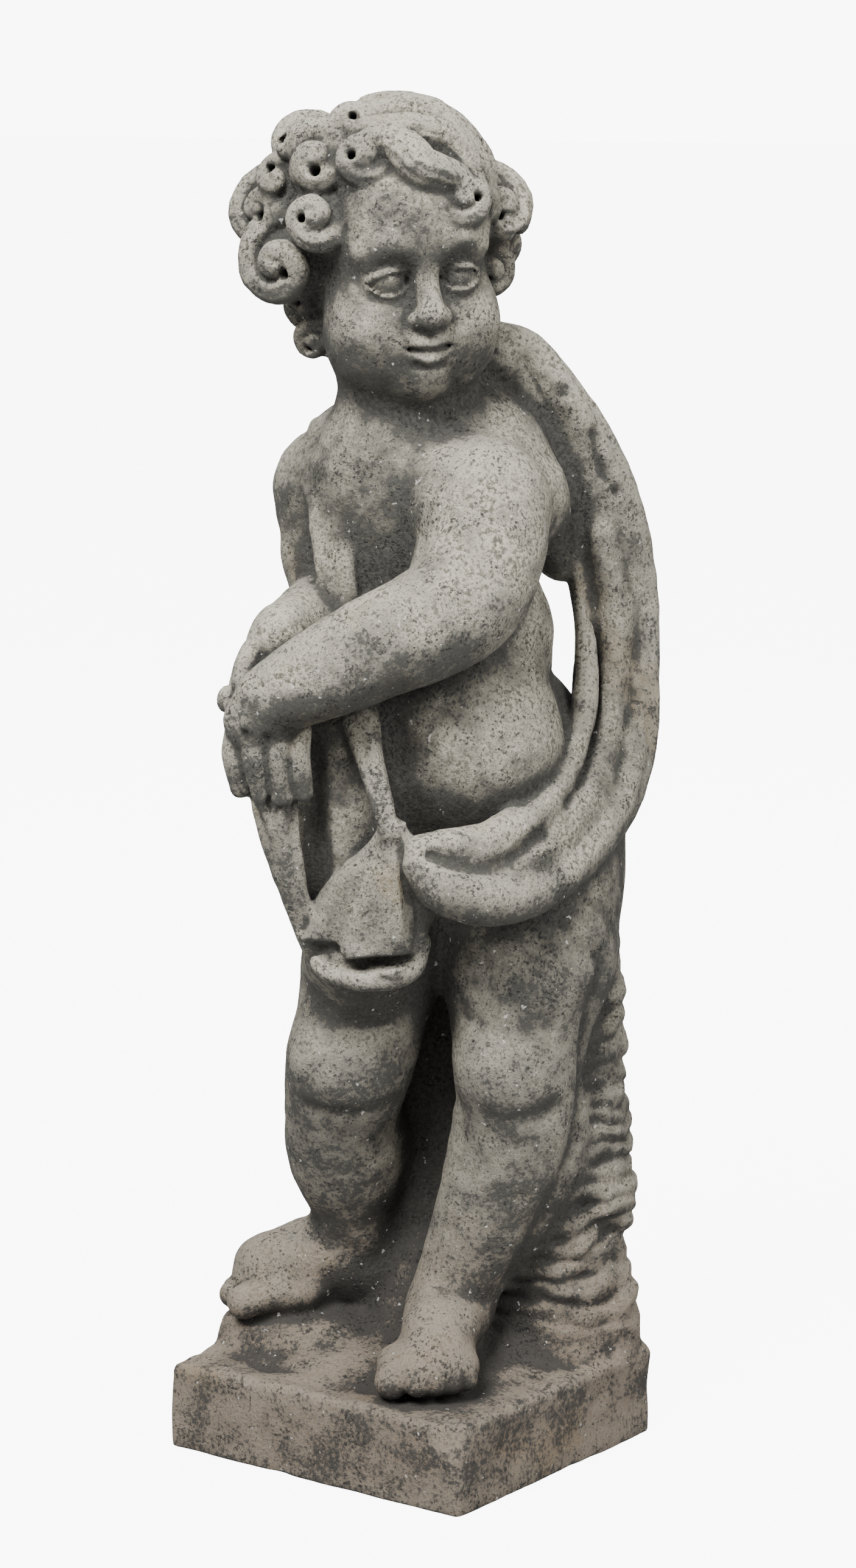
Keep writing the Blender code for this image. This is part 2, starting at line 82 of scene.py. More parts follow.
def window(low, high):
    """The part of the volume between two corners, and its x, y and z as arrays that broadcast."""
    first = np.clip(np.floor((np.asarray(low) - volume_low) / grain).astype(int), 0, cells)
    last = np.clip(np.ceil((np.asarray(high) - volume_low) / grain).astype(int) + 1, 0, cells)
    part = tuple(slice(a, max(a, b)) for a, b in zip(first, last))
    x, y, z = ((volume_low[i] + grain * np.arange(part[i].start, part[i].stop)).astype(np.float32)
               for i in range(3))
    return part, x[:, None, None], y[None, :, None], z[None, None, :]


def join(part, distance, fillet):
    """Smooth union: the smaller distance, less (fillet - difference)^2 / (4 fillet) near the seam."""
    old = volume[part]
    near = np.maximum(fillet - np.abs(old - distance), 0)
    volume[part] = np.minimum(old, distance) - near * near / (4 * fillet)


def cut(part, distance, fillet):
    """Smooth difference: the larger of the volume and minus the tool, rounded as in join."""
    old = volume[part]
    near = np.maximum(fillet - np.abs(old + distance), 0)
    volume[part] = np.maximum(old, -distance) + near * near / (4 * fillet)


def mass(centre, radii, turn=None, fillet=1.0, tool=join):
    """Ellipsoid: |p/r| (|p/r| - 1) / |p/r^2|, close to the distance from its skin."""
    centre, radii = np.asarray(centre, float), np.asarray(radii, float)
    reach = radii.max() + fillet + 2 * grain
    part, x, y, z = window(centre - reach, centre + reach)
    x, y, z = x - centre[0], y - centre[1], z - centre[2]
    if turn is not None:
        m = np.asarray(turn, np.float32)
        x, y, z = (x * m[0, i] + y * m[1, i] + z * m[2, i] for i in range(3))
    a, b, c = radii
    size = np.sqrt((x / a) ** 2 + (y / b) ** 2 + (z / c) ** 2)
    slope = np.sqrt((x / a ** 2) ** 2 + (y / b ** 2) ** 2 + (z / c ** 2) ** 2)
    distance = np.where(size < 0.05, -radii.min(), size * (size - 1) / np.maximum(slope, 1e-6))
    tool(part, distance.astype(np.float32), fillet)


def smooth_path(rows, steps):
    """Catmull-Rom curve through rows of numbers."""
    rows = np.asarray(rows, float)
    rows = np.vstack((2 * rows[0] - rows[1], rows, 2 * rows[-1] - rows[-2]))
    t = np.linspace(0, 1, steps, endpoint=False)[:, None]
    path = [0.5 * (2 * b + (c - a) * t + (2 * a - 5 * b + 4 * c - d) * t ** 2
                   + (3 * b - a - 3 * c + d) * t ** 3)
            for a, b, c, d in zip(rows, rows[1:], rows[2:], rows[3:])]
    return np.vstack(path + [rows[-2:-1]])


def limb(rows, fillet=1.0, steps=7, tool=join):
    """Tapering tube: the least of |p - nearest point of a piece| - radius over the path's pieces."""
    path = smooth_path(rows, steps) if steps > 1 else np.asarray(rows, float)
    reach = path[:, 3].max() + fillet + 2 * grain
    part, x, y, z = window(path[:, :3].min(0) - reach, path[:, :3].max(0) + reach)
    distance = np.full(volume[part].shape, 1e3, np.float32)
    for a, b in zip(path, path[1:]):
        step = b[:3] - a[:3]
        share = ((x - a[0]) * step[0] + (y - a[1]) * step[1] + (z - a[2]) * step[2])
        share = np.clip(share / max(float(step @ step), 1e-9), 0, 1)
        off = np.sqrt((x - a[0] - share * step[0]) ** 2 + (y - a[1] - share * step[1]) ** 2
                      + (z - a[2] - share * step[2]) ** 2)
        np.minimum(distance, off - (a[3] + share * (b[3] - a[3])), out=distance)
    tool(part, distance, fillet)


def groove(rows, width, depth, steps=5):
    """Crease (or ridge, with a negative depth): depth exp(-(distance from the line / width)^2)."""
    path = smooth_path(rows, steps)
    reach = 2.4 * width + grain
    part, x, y, z = window(path.min(0) - reach, path.max(0) + reach)
    near = np.full(volume[part].shape, 1e6, np.float32)
    for a, b in zip(path, path[1:]):
        step = b - a
        share = ((x - a[0]) * step[0] + (y - a[1]) * step[1] + (z - a[2]) * step[2])
        share = np.clip(share / max(float(step @ step), 1e-9), 0, 1)
        off = ((x - a[0] - share * step[0]) ** 2 + (y - a[1] - share * step[1]) ** 2
               + (z - a[2] - share * step[2]) ** 2)
        np.minimum(near, off, out=near)
    volume[part] += (depth * np.exp(-near / width ** 2)).astype(np.float32)


def waves(x, y, z, size, seed):
    """Uneven surface: a sum of nine sine waves of like length in seeded directions, about -1 to 1."""
    chance = np.random.default_rng(seed)
    total = 0
    for _ in range(9):
        way = chance.normal(size=3)
        way *= 2 * math.pi / (size * chance.uniform(0.7, 1.4) * np.linalg.norm(way))
        total = total + np.sin(x * way[0] + y * way[1] + z * way[2] + chance.uniform(0, 6.3))
    return total / 4.5


# The plinth: a rough block with soft, knocked edges, its top worked into a mound under the feet.
# The top is tooled in faint ridges, the near corner has lost a flake and the right face is scooped.
plinth_top = 6.7
plinth_edge = 0.9
plinth_turn = turned(yaw=-layout_turn)
right_face_turn = turned(yaw=-layout_turn + 88)
part, x, y, z = window((-24, -22, -3), (24, 24, 16))
along = x * plinth_turn[0, 0] + y * plinth_turn[1, 0]
across = x * plinth_turn[0, 1] + y * plinth_turn[1, 1]
rough = 0.18 * waves(along, across, z, 9, 1) + 0.08 * waves(along, across, z, 3.1, 2)
rough = rough + 0.16 * waves(0.3 * along, across, z, 2.4, 9) * np.clip(z - 5.2, 0, 1)
beyond_x = np.abs(along) - plinth_half_width + plinth_edge + 0 * z
beyond_y = np.abs(across) - plinth_half_depth + plinth_edge + 0 * z
beyond_z = z - plinth_top + plinth_edge + 0 * along
outside = np.sqrt(np.maximum(beyond_x, 0) ** 2 + np.maximum(beyond_y, 0) ** 2 + np.maximum(beyond_z,
                                                                                           0) ** 2)
inside = np.minimum(np.maximum(np.maximum(beyond_x, beyond_y), beyond_z), 0)
join(part, (outside + inside - plinth_edge + 0.12 - rough).astype(np.float32), 0.3)
mass((-1, 3, 6.0), (12.6, 11.0, 2.6), plinth_turn, 2.5)
mass((-10.0, 3.8, 7.6), (6.6, 4.8, 2.4), turned(yaw=-17), 2.0)
mass((9, 5.5, 6.0), (8.4, 7.4, 3.6), plinth_turn, 3)
mass((3.2, -20.6, 6.4), (2.6, 1.9, 2.2), plinth_turn, 1.2, cut)
mass((9.5, -14.3, 3.4), (3.4, 1.6, 1.9), right_face_turn, 1.6, cut)
mass((16.6, -4.4, 4.6), (2.6, 1.2, 1.5), right_face_turn, 1.4, cut)

# The stump: a broken tree trunk cast behind the legs to carry the weight at the ankles.
# Its bark runs in uneven rings, with a knot at the side and roots that spread over the ground.
limb([(12.8, 2.6, 38.5, 3.2), (12.7, 2.0, 33, 4.4), (12.5, 1.6, 25, 5.2), (12.0, 1.6, 16, 5.1),
      (11.8, 1.8, 8, 5.4)], 1.5)
limb([(5.6, 7.0, 47, 4.4), (4.8, 7.2, 36, 4.8), (4.6, 7.2, 22, 5.0), (4.6, 6.6, 8, 5.8)], 5)
limb([(1.4, 7.6, 43, 3.4), (0.6, 7.4, 30, 3.9), (0.2, 6.8, 18, 3.9), (0.0, 6.4, 9, 4.4)], 2.5)
mass((8.6, 4.6, 25), (5.8, 4.4, 17), plinth_turn, 4)
mass((16.0, 0.8, 20.5), (2.2, 3.0, 3.2), None, 2)
mass((15.2, 1.6, 36), (2.0, 2.6, 2.4), None, 1.6)
limb([(14, 1.5, 16, 3), (16.2, 1.2, 10, 2.6), (17.0, 1.2, 6.5, 1.6)], 1.5)
limb([(9, 3, 14, 2.0), (8.5, -0.5, 9, 1.8), (7.5, -3, 7, 1.0)], 1.2)
limb([(2.0, 3.0, 13, 2.4), (-0.4, 1.6, 9.5, 1.9), (-1.4, 0.4, 7.5, 1.0)], 2.5)
limb([(2.0, 8.0, 14, 3.4), (-0.5, 9.6, 9, 2.6), (-2, 10.6, 6.5, 1.6)], 1.5)
part, x, y, z = window((3, -4, 7), (20, 15, 52))
swirl = np.arctan2(y - 4.0, x - 9.0)
height = z + 0.7 * np.sin(2 * swirl + 0.3 * z) + 0.5 * waves(x, y, z, 6, 3)
rings = np.abs(np.sin(height * 1.75 + 0.6 * waves(x, y, z, 2.5, 5))) - 0.6
fade = np.clip((z - 8) / 4, 0, 1) * np.clip((47 - z) / 6, 0, 1) * np.clip((x - 3) / 3, 0, 1)
volume[part] -= (0.36 * fade * rings + 0.34 * fade * waves(x, y, z, 3.6, 4)).astype(np.float32)

# The legs: a small child's, thick and soft, the left one set forward and bearing the weight.
# Fat folds over the knees and round the ankles; five short toes on each foot.
left_leg = [(8.8, 0.5, 50, 7.6), (9.3, -1.3, 43, 7.1), (8.8, -3.0, 37, 6.0), (8.6, -4.3, 31.5, 5.1),
            (8.5, -3.2, 26, 5.4), (6.4, -3.0, 19.5, 4.6), (4.0, -3.4, 14.5, 3.6), (2.9, -4.0, 12, 3.3)]
limb(left_leg, 1.5, 9)
mass((7.6, -7.2, 32.6), (3.4, 2.8, 3.4), None, 3)
mass((9.8, -3.0, 40.0), (5.6, 5.4, 4.0), None, 3)
mass((9.6, -1.0, 25.5), (4.2, 4.6, 5.5), None, 2.5)
limb([(3.2, -3.2, 11.6, 3.4), (2.3, -7.3, 11.0, 3.2), (1.6, -11.0, 9.4, 2.4)], 1.0)
mass((1.3, -10.6, 9.0), (4.1, 3.8, 2.1), turned(yaw=-5), 1.0)
right_leg = [(-1.0, 1.8, 50, 7.2), (-2.6, 0.2, 43, 6.3), (-3.9, -0.8, 36.5, 5.4), (-5.0, -0.8, 31.8, 5.2),
             (-5.8, 0.8, 27.5, 4.7), (-5.4, 2.6, 23.5, 4.5), (-4.9, 3.8, 18.5, 3.5),
             (-4.9, 4.6, 14.2, 3.1)]
limb(right_leg, 1.5, 9)
mass((-5.6, -3.4, 32.4), (3.4, 2.6, 3.4), None, 3)
mass((-5.4, 3.2, 23.5), (4.4, 4.2, 5.0), None, 2.5)
limb([(-3.6, 5.4, 12.8, 3.2), (-7.4, 4.9, 13.6, 3.5), (-11, 4.2, 12.6, 3.1), (-12.8, 3.8, 11.6, 2.4)],
     1.2)
mass((-10.8, 4.0, 11.2), (4.0, 4.2, 2.1), turned(yaw=15), 1.0)
mass((-12.2, 5.0, 13.0), (2.6, 3.0, 2.2), None, 1.2)
groove([(13.0, -9.4, 43.6), (15.2, -6.2, 41.0), (14.5, -6.6, 38.2), (13.9, -6.0, 35.0),
        (13.7, -5.6, 30.8), (13.3, -6.2, 27.5), (12.4, -6.6, 24.1), (10.9, -6.6, 21.1), (9.5, -5.8, 17.8),
        (7.8, -5.0, 14.4)], 0.75, 0.9)
for line in ([(4.0, -8.4, 36.6), (7.4, -9.9, 35.8), (10.8, -9.2, 36.4)],
             [(4.4, -9.0, 29.4), (7.4, -9.9, 28.4), (11.0, -8.8, 29.6)],
             [(-8.4, -5.0, 36.4), (-5.4, -6.6, 35.6), (-2.2, -5.6, 36.2)],
             [(-9.4, -4.0, 28.8), (-6.0, -5.6, 28.0), (-2.4, -4.2, 28.8)],
             [(0.2, -7.0, 12.6), (2.6, -7.6, 13.6), (5.4, -6.2, 12.8)],
             [(-8.2, 1.6, 15.6), (-6.0, 0.8, 15.0), (-3.8, 1.2, 14.0)]):
    groove(line, 0.9, 0.32)
for x0, y0, radius in ((-1.6, -12.9, 1.4), (0.4, -13.6, 1.1), (1.8, -13.5, 1.0), (3.1, -13.0, 0.95),
                       (4.3, -12.2, 0.9)):
    limb([(x0 + 0.1, y0 + 3.0, 9.1, 0.9 * radius), (x0, y0, 8.3, radius)], 0.35, 1)
for x0, y0, radius in ((-13.9, 0.8, 1.5), (-15.0, 3.0, 1.2), (-14.9, 4.7, 1.1), (-14.2, 6.2, 1.05),
                       (-13.1, 7.5, 1.0)):
    limb([(x0 + 3.0, y0 + 0.3, 11.7, 0.9 * radius), (x0, y0, 10.8, radius)], 0.35, 1)

# The trunk: hips, a round belly over a soft fold, and a narrow breast turned to the plinth's front.
# The navel is a drilled dimple.
torso_turn = turned(yaw=-37)
for centre, radii, fillet in (
        ((4.0, 1.2, 52.5), (9.0, 7.6, 7.5), 2),
        ((3.6, -2.6, 58.2), (8.8, 8.0, 8.6), 3),
        ((8.2, 3.6, 57), (5.6, 6.0, 7.0), 3),
        ((0.6, 7.0, 55), (5.6, 5.4, 6.6), 3),
        ((3.2, 1.2, 67.0), (8.5, 7.4, 6.5), 3),
        ((0.8, 0.8, 73.5), (9.0, 7.2, 7.6), 3),
        ((-1.2, 0.3, 78.6), (9.2, 5.4, 5.0), 3),
        ((2.6, -4.2, 74.5), (3.8, 3.0, 3.4), 2),
        ((-3.6, -0.2, 74.5), (3.8, 3.6, 3.4), 2),
        ((5.4, -5.0, 77.3), (5.2, 5.2, 5.2), 2.5),
        ((-6.8, 4.4, 78.2), (4.1, 4.4, 4.6), 2.5)):
    mass(centre, radii, torso_turn, fillet)
limb([(-2.2, 0.2, 80, 5.6), (-1.4, -0.2, 84.5, 4.8), (-0.6, -0.4, 89, 4.9)], 2.5)
limb([(0.5, 1.5, 84, 4.0), (4.5, 1.0, 81.5, 4.6), (8.0, 0.5, 77.5, 4.4)], 2.5)
limb([(-1.6, -11.5, 61.0, 0.8), (-1.5, -7.6, 61.0, 0.4)], 0.6, 1, cut)

# The arms: the left one lies across the belly, the right one bends over it to hold the wrist.
# The left hand hangs in front with its four fingers down.
limb([(5.4, -5.6, 77.2, 5.4), (5.2, -8.0, 73.6, 5.1), (3.2, -10.6, 70.0, 4.6), (-2.4, -12.8, 67.4, 4.1),
      (-7.3, -13.2, 65.1, 3.5), (-10.9, -12.8, 63.2, 2.8)], 1.0, 9)
mass((-11.9, -12.6, 61.5), (2.7, 2.0, 2.6), turned(roll=20), 0.8)
for x0, y0, z0 in ((-13.6, -11.7, 58.6), (-12.0, -12.8, 58.4), (-10.35, -12.9, 58.2),
                   (-8.7, -12.3, 58.4)):
    limb([(x0, y0 + 0.3, z0 + 2.3, 0.95), (x0 - 0.15, y0 - 0.3, z0, 1.0),
          (x0 + 0.25, y0 + 0.2, z0 - 2.6, 0.8)], 0.3)
limb([(-6.8, 4.4, 78, 4.1), (-7.0, 3.5, 73.5, 3.7), (-6.5, 1.5, 69.5, 3.4), (-8.4, -3.5, 68.2, 2.8),
      (-10.0, -7.5, 67.6, 2.5)], 1.0, 9)
mass((-10.5, -8.8, 67.4), (2.3, 2.6, 2.8), turned(roll=30), 0.8)
for x0, y0, z0 in ((-12.6, -9.6, 66.4), (-12.9, -8.2, 65.6), (-13.0, -6.8, 65.0)):
    limb([(x0 + 1.6, y0, z0 + 1.6, 0.9), (x0, y0 - 0.6, z0, 0.95), (x0 - 0.6, y0 - 2.2, z0 - 2.0, 0.85)],
         0.3)
mass((-14.3, -11.3, 63.0), (0.9, 0.9, 1.1), None, 0.3)


# The cloth: one long scarf, cast with the body. It crosses the neck and breast, is knotted at the
# groin over an apron, sweeps behind the left shoulder and round the hip, and hangs from the hand.
def band(rows, sides, folds, fillet=1.0, steps=8):
    """Strip of cloth: an ellipse of half width by half thickness, raised by folds, along a path."""
    path, across = smooth_path(rows, steps), smooth_path(sides, steps)
    along = np.gradient(path[:, :3], axis=0)
    along /= np.linalg.norm(along, axis=1)[:, None]
    across -= (across * along).sum(1)[:, None] * along
    across /= np.linalg.norm(across, axis=1)[:, None]
    outward = np.cross(along, across)
    reach = path[:, 3:].max() + fillet + 1 + 2 * grain
    part, x, y, z = window(path[:, :3].min(0) - reach, path[:, :3].max(0) + reach)
    best = np.full(volume[part].shape, 1e6, np.float32)
    place = np.zeros(best.shape, np.float32)
    for index, (a, b) in enumerate(zip(path[:, :3], path[1:, :3])):
        step = b - a
        share = ((x - a[0]) * step[0] + (y - a[1]) * step[1] + (z - a[2]) * step[2]) / float(step @ step)
        share = np.clip(share, 0, 1)
        off = ((x - a[0] - share * step[0]) ** 2 + (y - a[1] - share * step[1]) ** 2
               + (z - a[2] - share * step[2]) ** 2)
        nearer = off < best
        best = np.where(nearer, off, best)
        place = np.where(nearer, index + share, place)
    before = np.minimum(place.astype(int), len(path) - 2)
    share = place - before

    def here(column):
        return (column[before] * (1 - share) + column[before + 1] * share).astype(np.float32)

    off = [axis - here(path[:, i]) for i, axis in enumerate((x, y, z))]
    half_width, half_thickness = here(path[:, 3]), here(path[:, 4])
    u = sum(here(across[:, i]) * off[i] for i in range(3))
    v = sum(here(outward[:, i]) * off[i] for i in range(3))
    lengthwise = sum(here(along[:, i]) * off[i] for i in range(3))
    rise = folds(np.arctan2(v / half_thickness, u / half_width), place / (len(path) - 1))
    size = np.sqrt((u / half_width) ** 2 + (v / half_thickness) ** 2)
    slope = np.sqrt((u / half_width ** 2) ** 2 + (v / half_thickness ** 2) ** 2)
    distance = size * (size - 1) / np.maximum(slope, 1e-6)
    distance = np.where(size < 0.05, -np.minimum(half_width, half_thickness), distance)
    distance = np.maximum(distance, np.abs(lengthwise) - 0.6 * np.minimum(half_width, half_thickness))
    join(part, (distance - rise).astype(np.float32), fillet)


def sweep_folds(angle, share):
    """Two sets of folds with sharp valleys that drift round the hanging cloth."""
    return (0.55 * np.abs(np.sin(1.5 * angle + 2.6 * share + 0.4))
            + 0.35 * np.abs(np.sin(2.5 * angle - 4.2 * share)) - 0.35)


def apron_folds(angle, share):
    """Broad folds that fan out from the knot and deepen towards the hem."""
    return (0.50 * np.cos(3.0 * angle - 3.9) + 0.12 * np.cos(7.0 * angle)) * np.clip(2.0 * share, 0, 1)


def ribbon_folds(angle, share):
    """Two shallow pleats that run along a narrow strip."""
    return 0.22 * np.abs(np.cos(2.0 * angle + 1.5 * share + 0.4)) - 0.11


limb([(-10.8, -11.0, 58.5, 2.2), (-10.7, -11.1, 55, 1.9), (-9.9, -10.7, 50, 1.4), (-8.4, -9.6, 44.5, 0.9),
      (-7.8, -9.0, 42.4, 0.6)], 0.6, 9)
limb([(-4.4, -4.6, 66, 3.2), (-4.9, -6.0, 60, 3.6), (-4.9, -6.6, 54, 4.0), (-4.7, -6.4, 48, 4.4),
      (-4.4, -5.4, 42, 4.4)], 2.5)
limb([(-7.6, -7.4, 60, 2.0), (-7.6, -7.8, 52, 1.9), (-6.6, -7.4, 45, 1.6)], 0.8)
for shift, lean in ((-1.35, 0.1), (-0.45, 0.0), (0.5, 0.0), (1.3, 0.1)):
    groove([(-10.9 + shift, -13.0 + abs(shift), 57.0),
            (-10.4 + 0.9 * shift, -12.8 + lean + 0.6 * abs(shift), 53.0),
            (-9.6 + 0.6 * shift, -12.0 + lean, 48.5), (-8.6 + 0.3 * shift, -10.6, 44.5)], 0.34, 0.75)
groove([(-8.3, -9.4, 59.0), (-7.9, -9.8, 54.0), (-7.3, -9.8, 49.0), (-6.8, -9.2, 45.5)], 0.95, 1.7)
for x0 in (-12.75, -11.1, -9.5):
    groove([(x0, -13.6, 62.0), (x0 - 0.1, -14.2, 60.2), (x0 - 0.1, -14.0, 58.2), (x0 + 0.1, -13.4, 55.8)],
           0.32, 0.5)
limb([(14.6, 4.6, 56, 3.1), (14.2, 4.2, 50, 3.1), (13.6, 3.6, 45, 3.3), (13.0, 3.0, 40, 3.5)], 3)
mass((10.5, 3.2, 47), (5, 5, 7), None, 3)
limb([(3, 4.0, 86, 3.6), (7, 3.6, 82, 3.8), (10.2, 4.4, 77, 3.2), (12.2, 6.0, 72.6, 2.4)], 2)
sweep = [(6.2, 3.2, 88.7, 2.4, 2.2), (8.4, 3.8, 87.9, 2.7, 2.2), (10.6, 3.8, 85.2, 2.8, 2.2),
         (13.0, 5.0, 80.9, 3.1, 2.4), (14.9, 6.5, 75.7, 3.4, 2.6), (16.3, 7.5, 68.8, 3.3, 2.6),
         (16.5, 6.6, 62.3, 3.3, 2.4), (16.1, 4.0, 57.4, 3.6, 2.1), (14.2, -1.0, 53.4, 4.0, 2.0),
         (10.6, -7.0, 50.6, 4.3, 2.0), (7.0, -11.2, 49.2, 4.0, 1.9), (3.6, -13.2, 49.4, 3.0, 1.7)]
sweep_sides = [(0.3, 0.6, 1), (0.7, 0.2, 0.8), (0.9, 0, 0.4), (0.9, 0, 0.4), (1, 0, 0.2), (1, 0, 0),
               (1, 0, 0), (1, 0, -0.3), (0.8, 0, -0.7), (0.3, 0, -1), (0, 0, -1), (0, 0, -1)]
band(sweep, sweep_sides, sweep_folds, 0.4)
limb([(0.9, -14.0, 50.6, 1.9), (2.6, -14.0, 48.9, 2.3), (5.8, -13.0, 47.7, 2.3), (9.4, -10.4, 47.8, 2.1),
      (13.0, -6.0, 49.6, 1.9), (16.4, -0.4, 53.4, 1.6), (18.0, 4.6, 59.4, 1.4), (18.4, 7.4, 66.0, 1.2)],
     0.6, 9)
limb([(0.6, -13.6, 51.4, 1.3), (3.4, -13.4, 52.0, 1.2), (6.4, -11.8, 52.2, 1.2), (9.8, -8.6, 53.6, 1.2),
      (12.6, -3.6, 57.0, 1.1), (14.0, 1.0, 61.4, 1.0), (14.0, 4.4, 67.4, 0.9), (13.4, 5.2, 74.0, 0.8)],
     0.6, 9)
limb([(6.8, -11.6, 50.4, 0.8), (10.6, -8.6, 51.2, 1.0), (14.0, -3.0, 54.4, 1.1), (16.0, 2.4, 60.0, 1.0),
      (16.4, 4.8, 67.0, 0.9), (15.2, 4.4, 74.0, 0.9)], 0.9, 9)
groove([(1.4, -15.0, 51.2), (4.0, -15.0, 50.4), (7.0, -13.4, 50.4), (10.4, -10.2, 52.0)], 0.6, 0.9)
groove([(6.6, -0.4, 91.0), (9.0, 0.6, 87.8), (10.8, 1.0, 84.4), (12.0, 2.0, 80.0), (12.6, 3.0, 75.0),
        (12.8, 3.4, 71.0)], 0.5, 0.8)
groove([(10.6, 0.8, 86.6), (11.2, 0.8, 85.4), (12.0, 1.6, 85.8)], 0.45, 1.0)
groove([(11.2, 0.9, 85.4), (12.6, 2.2, 81.0), (13.6, 3.4, 76.0), (14.2, 4.2, 70.0), (14.6, 3.8, 64.0)],
       0.42, 0.6)
groove([(14.4, 3.0, 82.4), (15.0, 3.8, 79.6), (16.2, 4.6, 77.6)], 0.6, 0.6)
limb([(7, 4.2, 87.6, 2.4), (2.5, 6.0, 86.0, 2.2), (-2.5, 6.0, 84.0, 2.2), (-6.0, 3.6, 82.8, 1.8),
      (-7.0, 1.2, 82.2, 1.3)], 0.8)
ribbon = [(-6.2, 2.2, 83.0, 1.8, 0.8), (-6.5, -0.6, 79.8, 2.0, 0.7), (-6.3, -2.6, 76.4, 2.0, 0.7),
          (-6.0, -4.0, 72.4, 1.8, 0.7), (-5.4, -5.2, 67.6, 1.5, 0.8)]
band(ribbon, [(1, -0.45, 0)] * len(ribbon), ribbon_folds, 0.7)
strap = [(-4.6, -7.6, 65.0, 1.5, 0.8), (-3.9, -9.6, 60.8, 1.3, 0.8), (-2.9, -11.4, 56.8, 1.0, 0.8),
         (-1.7, -13.0, 52.6, 0.8, 0.8)]
band(strap, [(1, -0.2, 0)] * len(strap), ribbon_folds, 0.4)
apron = [(-1.5, -12.6, 53.0, 1.0, 1.1), (-1.9, -12.3, 50.5, 2.2, 1.5), (-2.5, -11.6, 47.4, 3.9, 2.0),
         (-3.1, -11.2, 45.0, 4.7, 2.2), (-3.4, -11.0, 43.9, 4.8, 2.2)]
band(apron, [(1, -0.2, 0.15)] * len(apron), apron_folds, 0.6)
limb([(-0.9, -12.4, 51.8, 1.1), (0.6, -11.8, 49.6, 1.4), (1.7, -10.9, 47.6, 1.0)], 0.6)
limb([(0.2, -11.8, 49.4, 1.5), (0.7, -11.3, 46.8, 1.3), (0.2, -11.0, 45.4, 1.0)], 0.6)
mass((-3.2, -9.9, 42.4), (4.0, 1.9, 1.7), None, 0.8)
limb([(-7.6, -10.8, 42.0, 0.6), (-6.6, -11.6, 41.3, 0.75), (-3.8, -12.2, 40.8, 0.85),
      (-1.2, -12.0, 41.0, 0.85), (0.2, -11.4, 41.8, 0.8), (0.8, -10.6, 43.4, 0.7)], 0.5)
mass((-3.3, -13.2, 42.25), (4.3, 1.9, 0.62), turned(roll=-7), 0.3, cut)
groove([(-2.0, -14.0, 51.2), (-3.3, -14.0, 47.8), (-3.9, -13.8, 44.6)], 1.0, 0.8)
groove([(-1.3, -13.8, 51.6), (-1.0, -14.0, 47.8), (-1.1, -13.8, 44.2)], 0.4, -0.45)
groove([(-1.2, -14.0, 51.6), (-0.4, -13.9, 47.8), (0.2, -13.6, 44.8)], 0.45, 0.5)
groove([(-3.0, -13.2, 51.4), (-5.2, -12.8, 48.0), (-6.8, -12.2, 44.6)], 0.5, 0.5)

# The head: turned to the child's left and a little down. The face is a calm child's face of the
# carver's own, on plain proportions: eyes at mid height, a short nose, full cheeks, blank eyeballs.
head_centre = np.array((-1.0, -1.6, 97.0))
head_turn = turned(yaw=17) @ turned(pitch=9) @ turned(roll=-4)


def on_head(*rows):
    """Rows given in the head's own frame, face towards -y, moved into the layout."""
    return [(*(head_centre + head_turn @ np.array(row[:3], float)), *row[3:]) for row in rows]


def head_mass(centre, radii, fillet, tool=join):
    """An ellipsoid in the head's own frame."""
    mass(on_head(centre)[0], radii, head_turn, fillet, tool)


def head_groove(rows, width, depth):
    """A crease, or with a negative depth a ridge, in the head's own frame."""
    groove(np.array(on_head(*rows)), width, depth)


head_mass((0, 1.6, 3.4), (6.9, 8.0, 7.4), 1)
head_mass((0, -1.2, -3.4), (6.4, 6.2, 6.6), 3)
head_mass((0, -3.2, 3.4), (6.0, 4.9, 5.4), 2.5)
head_mass((0, -5.5, -8.4), (2.3, 2.1, 2.0), 1.6)
head_mass((0, -6.2, -5.6), (2.7, 1.9, 2.5), 1.6)
for side in (-1, 1):
    head_mass((3.5 * side, -3.9, -4.7), (3.2, 3.7, 3.5), 2.0)
    head_mass((2.8 * side, -2.2, -7.0), (3.2, 3.8, 2.9), 2.0)
    head_mass((2.8 * side, -8.7, -0.2), (2.3, 1.7, 1.5), 1.3, cut)
    head_mass((1.35 * side, -8.7, -0.5), (0.7, 1.6, 0.9), 0.9, cut)
limb(on_head((0, -7.0, 1.2, 0.7), (0, -7.6, -0.9, 0.75), (0, -8.5, -2.9, 0.95)), 1.2)
head_mass((0, -8.75, -3.15), (1.05, 1.0, 0.9), 0.7)
for side in (-1, 1):
    head_mass((1.15 * side, -7.85, -3.45), (0.68, 0.85, 0.6), 0.35)
    limb(on_head((0.5 * side, -8.55, -3.75, 0.26), (0.62 * side, -8.0, -3.2, 0.2)), 0.15, 1, cut)

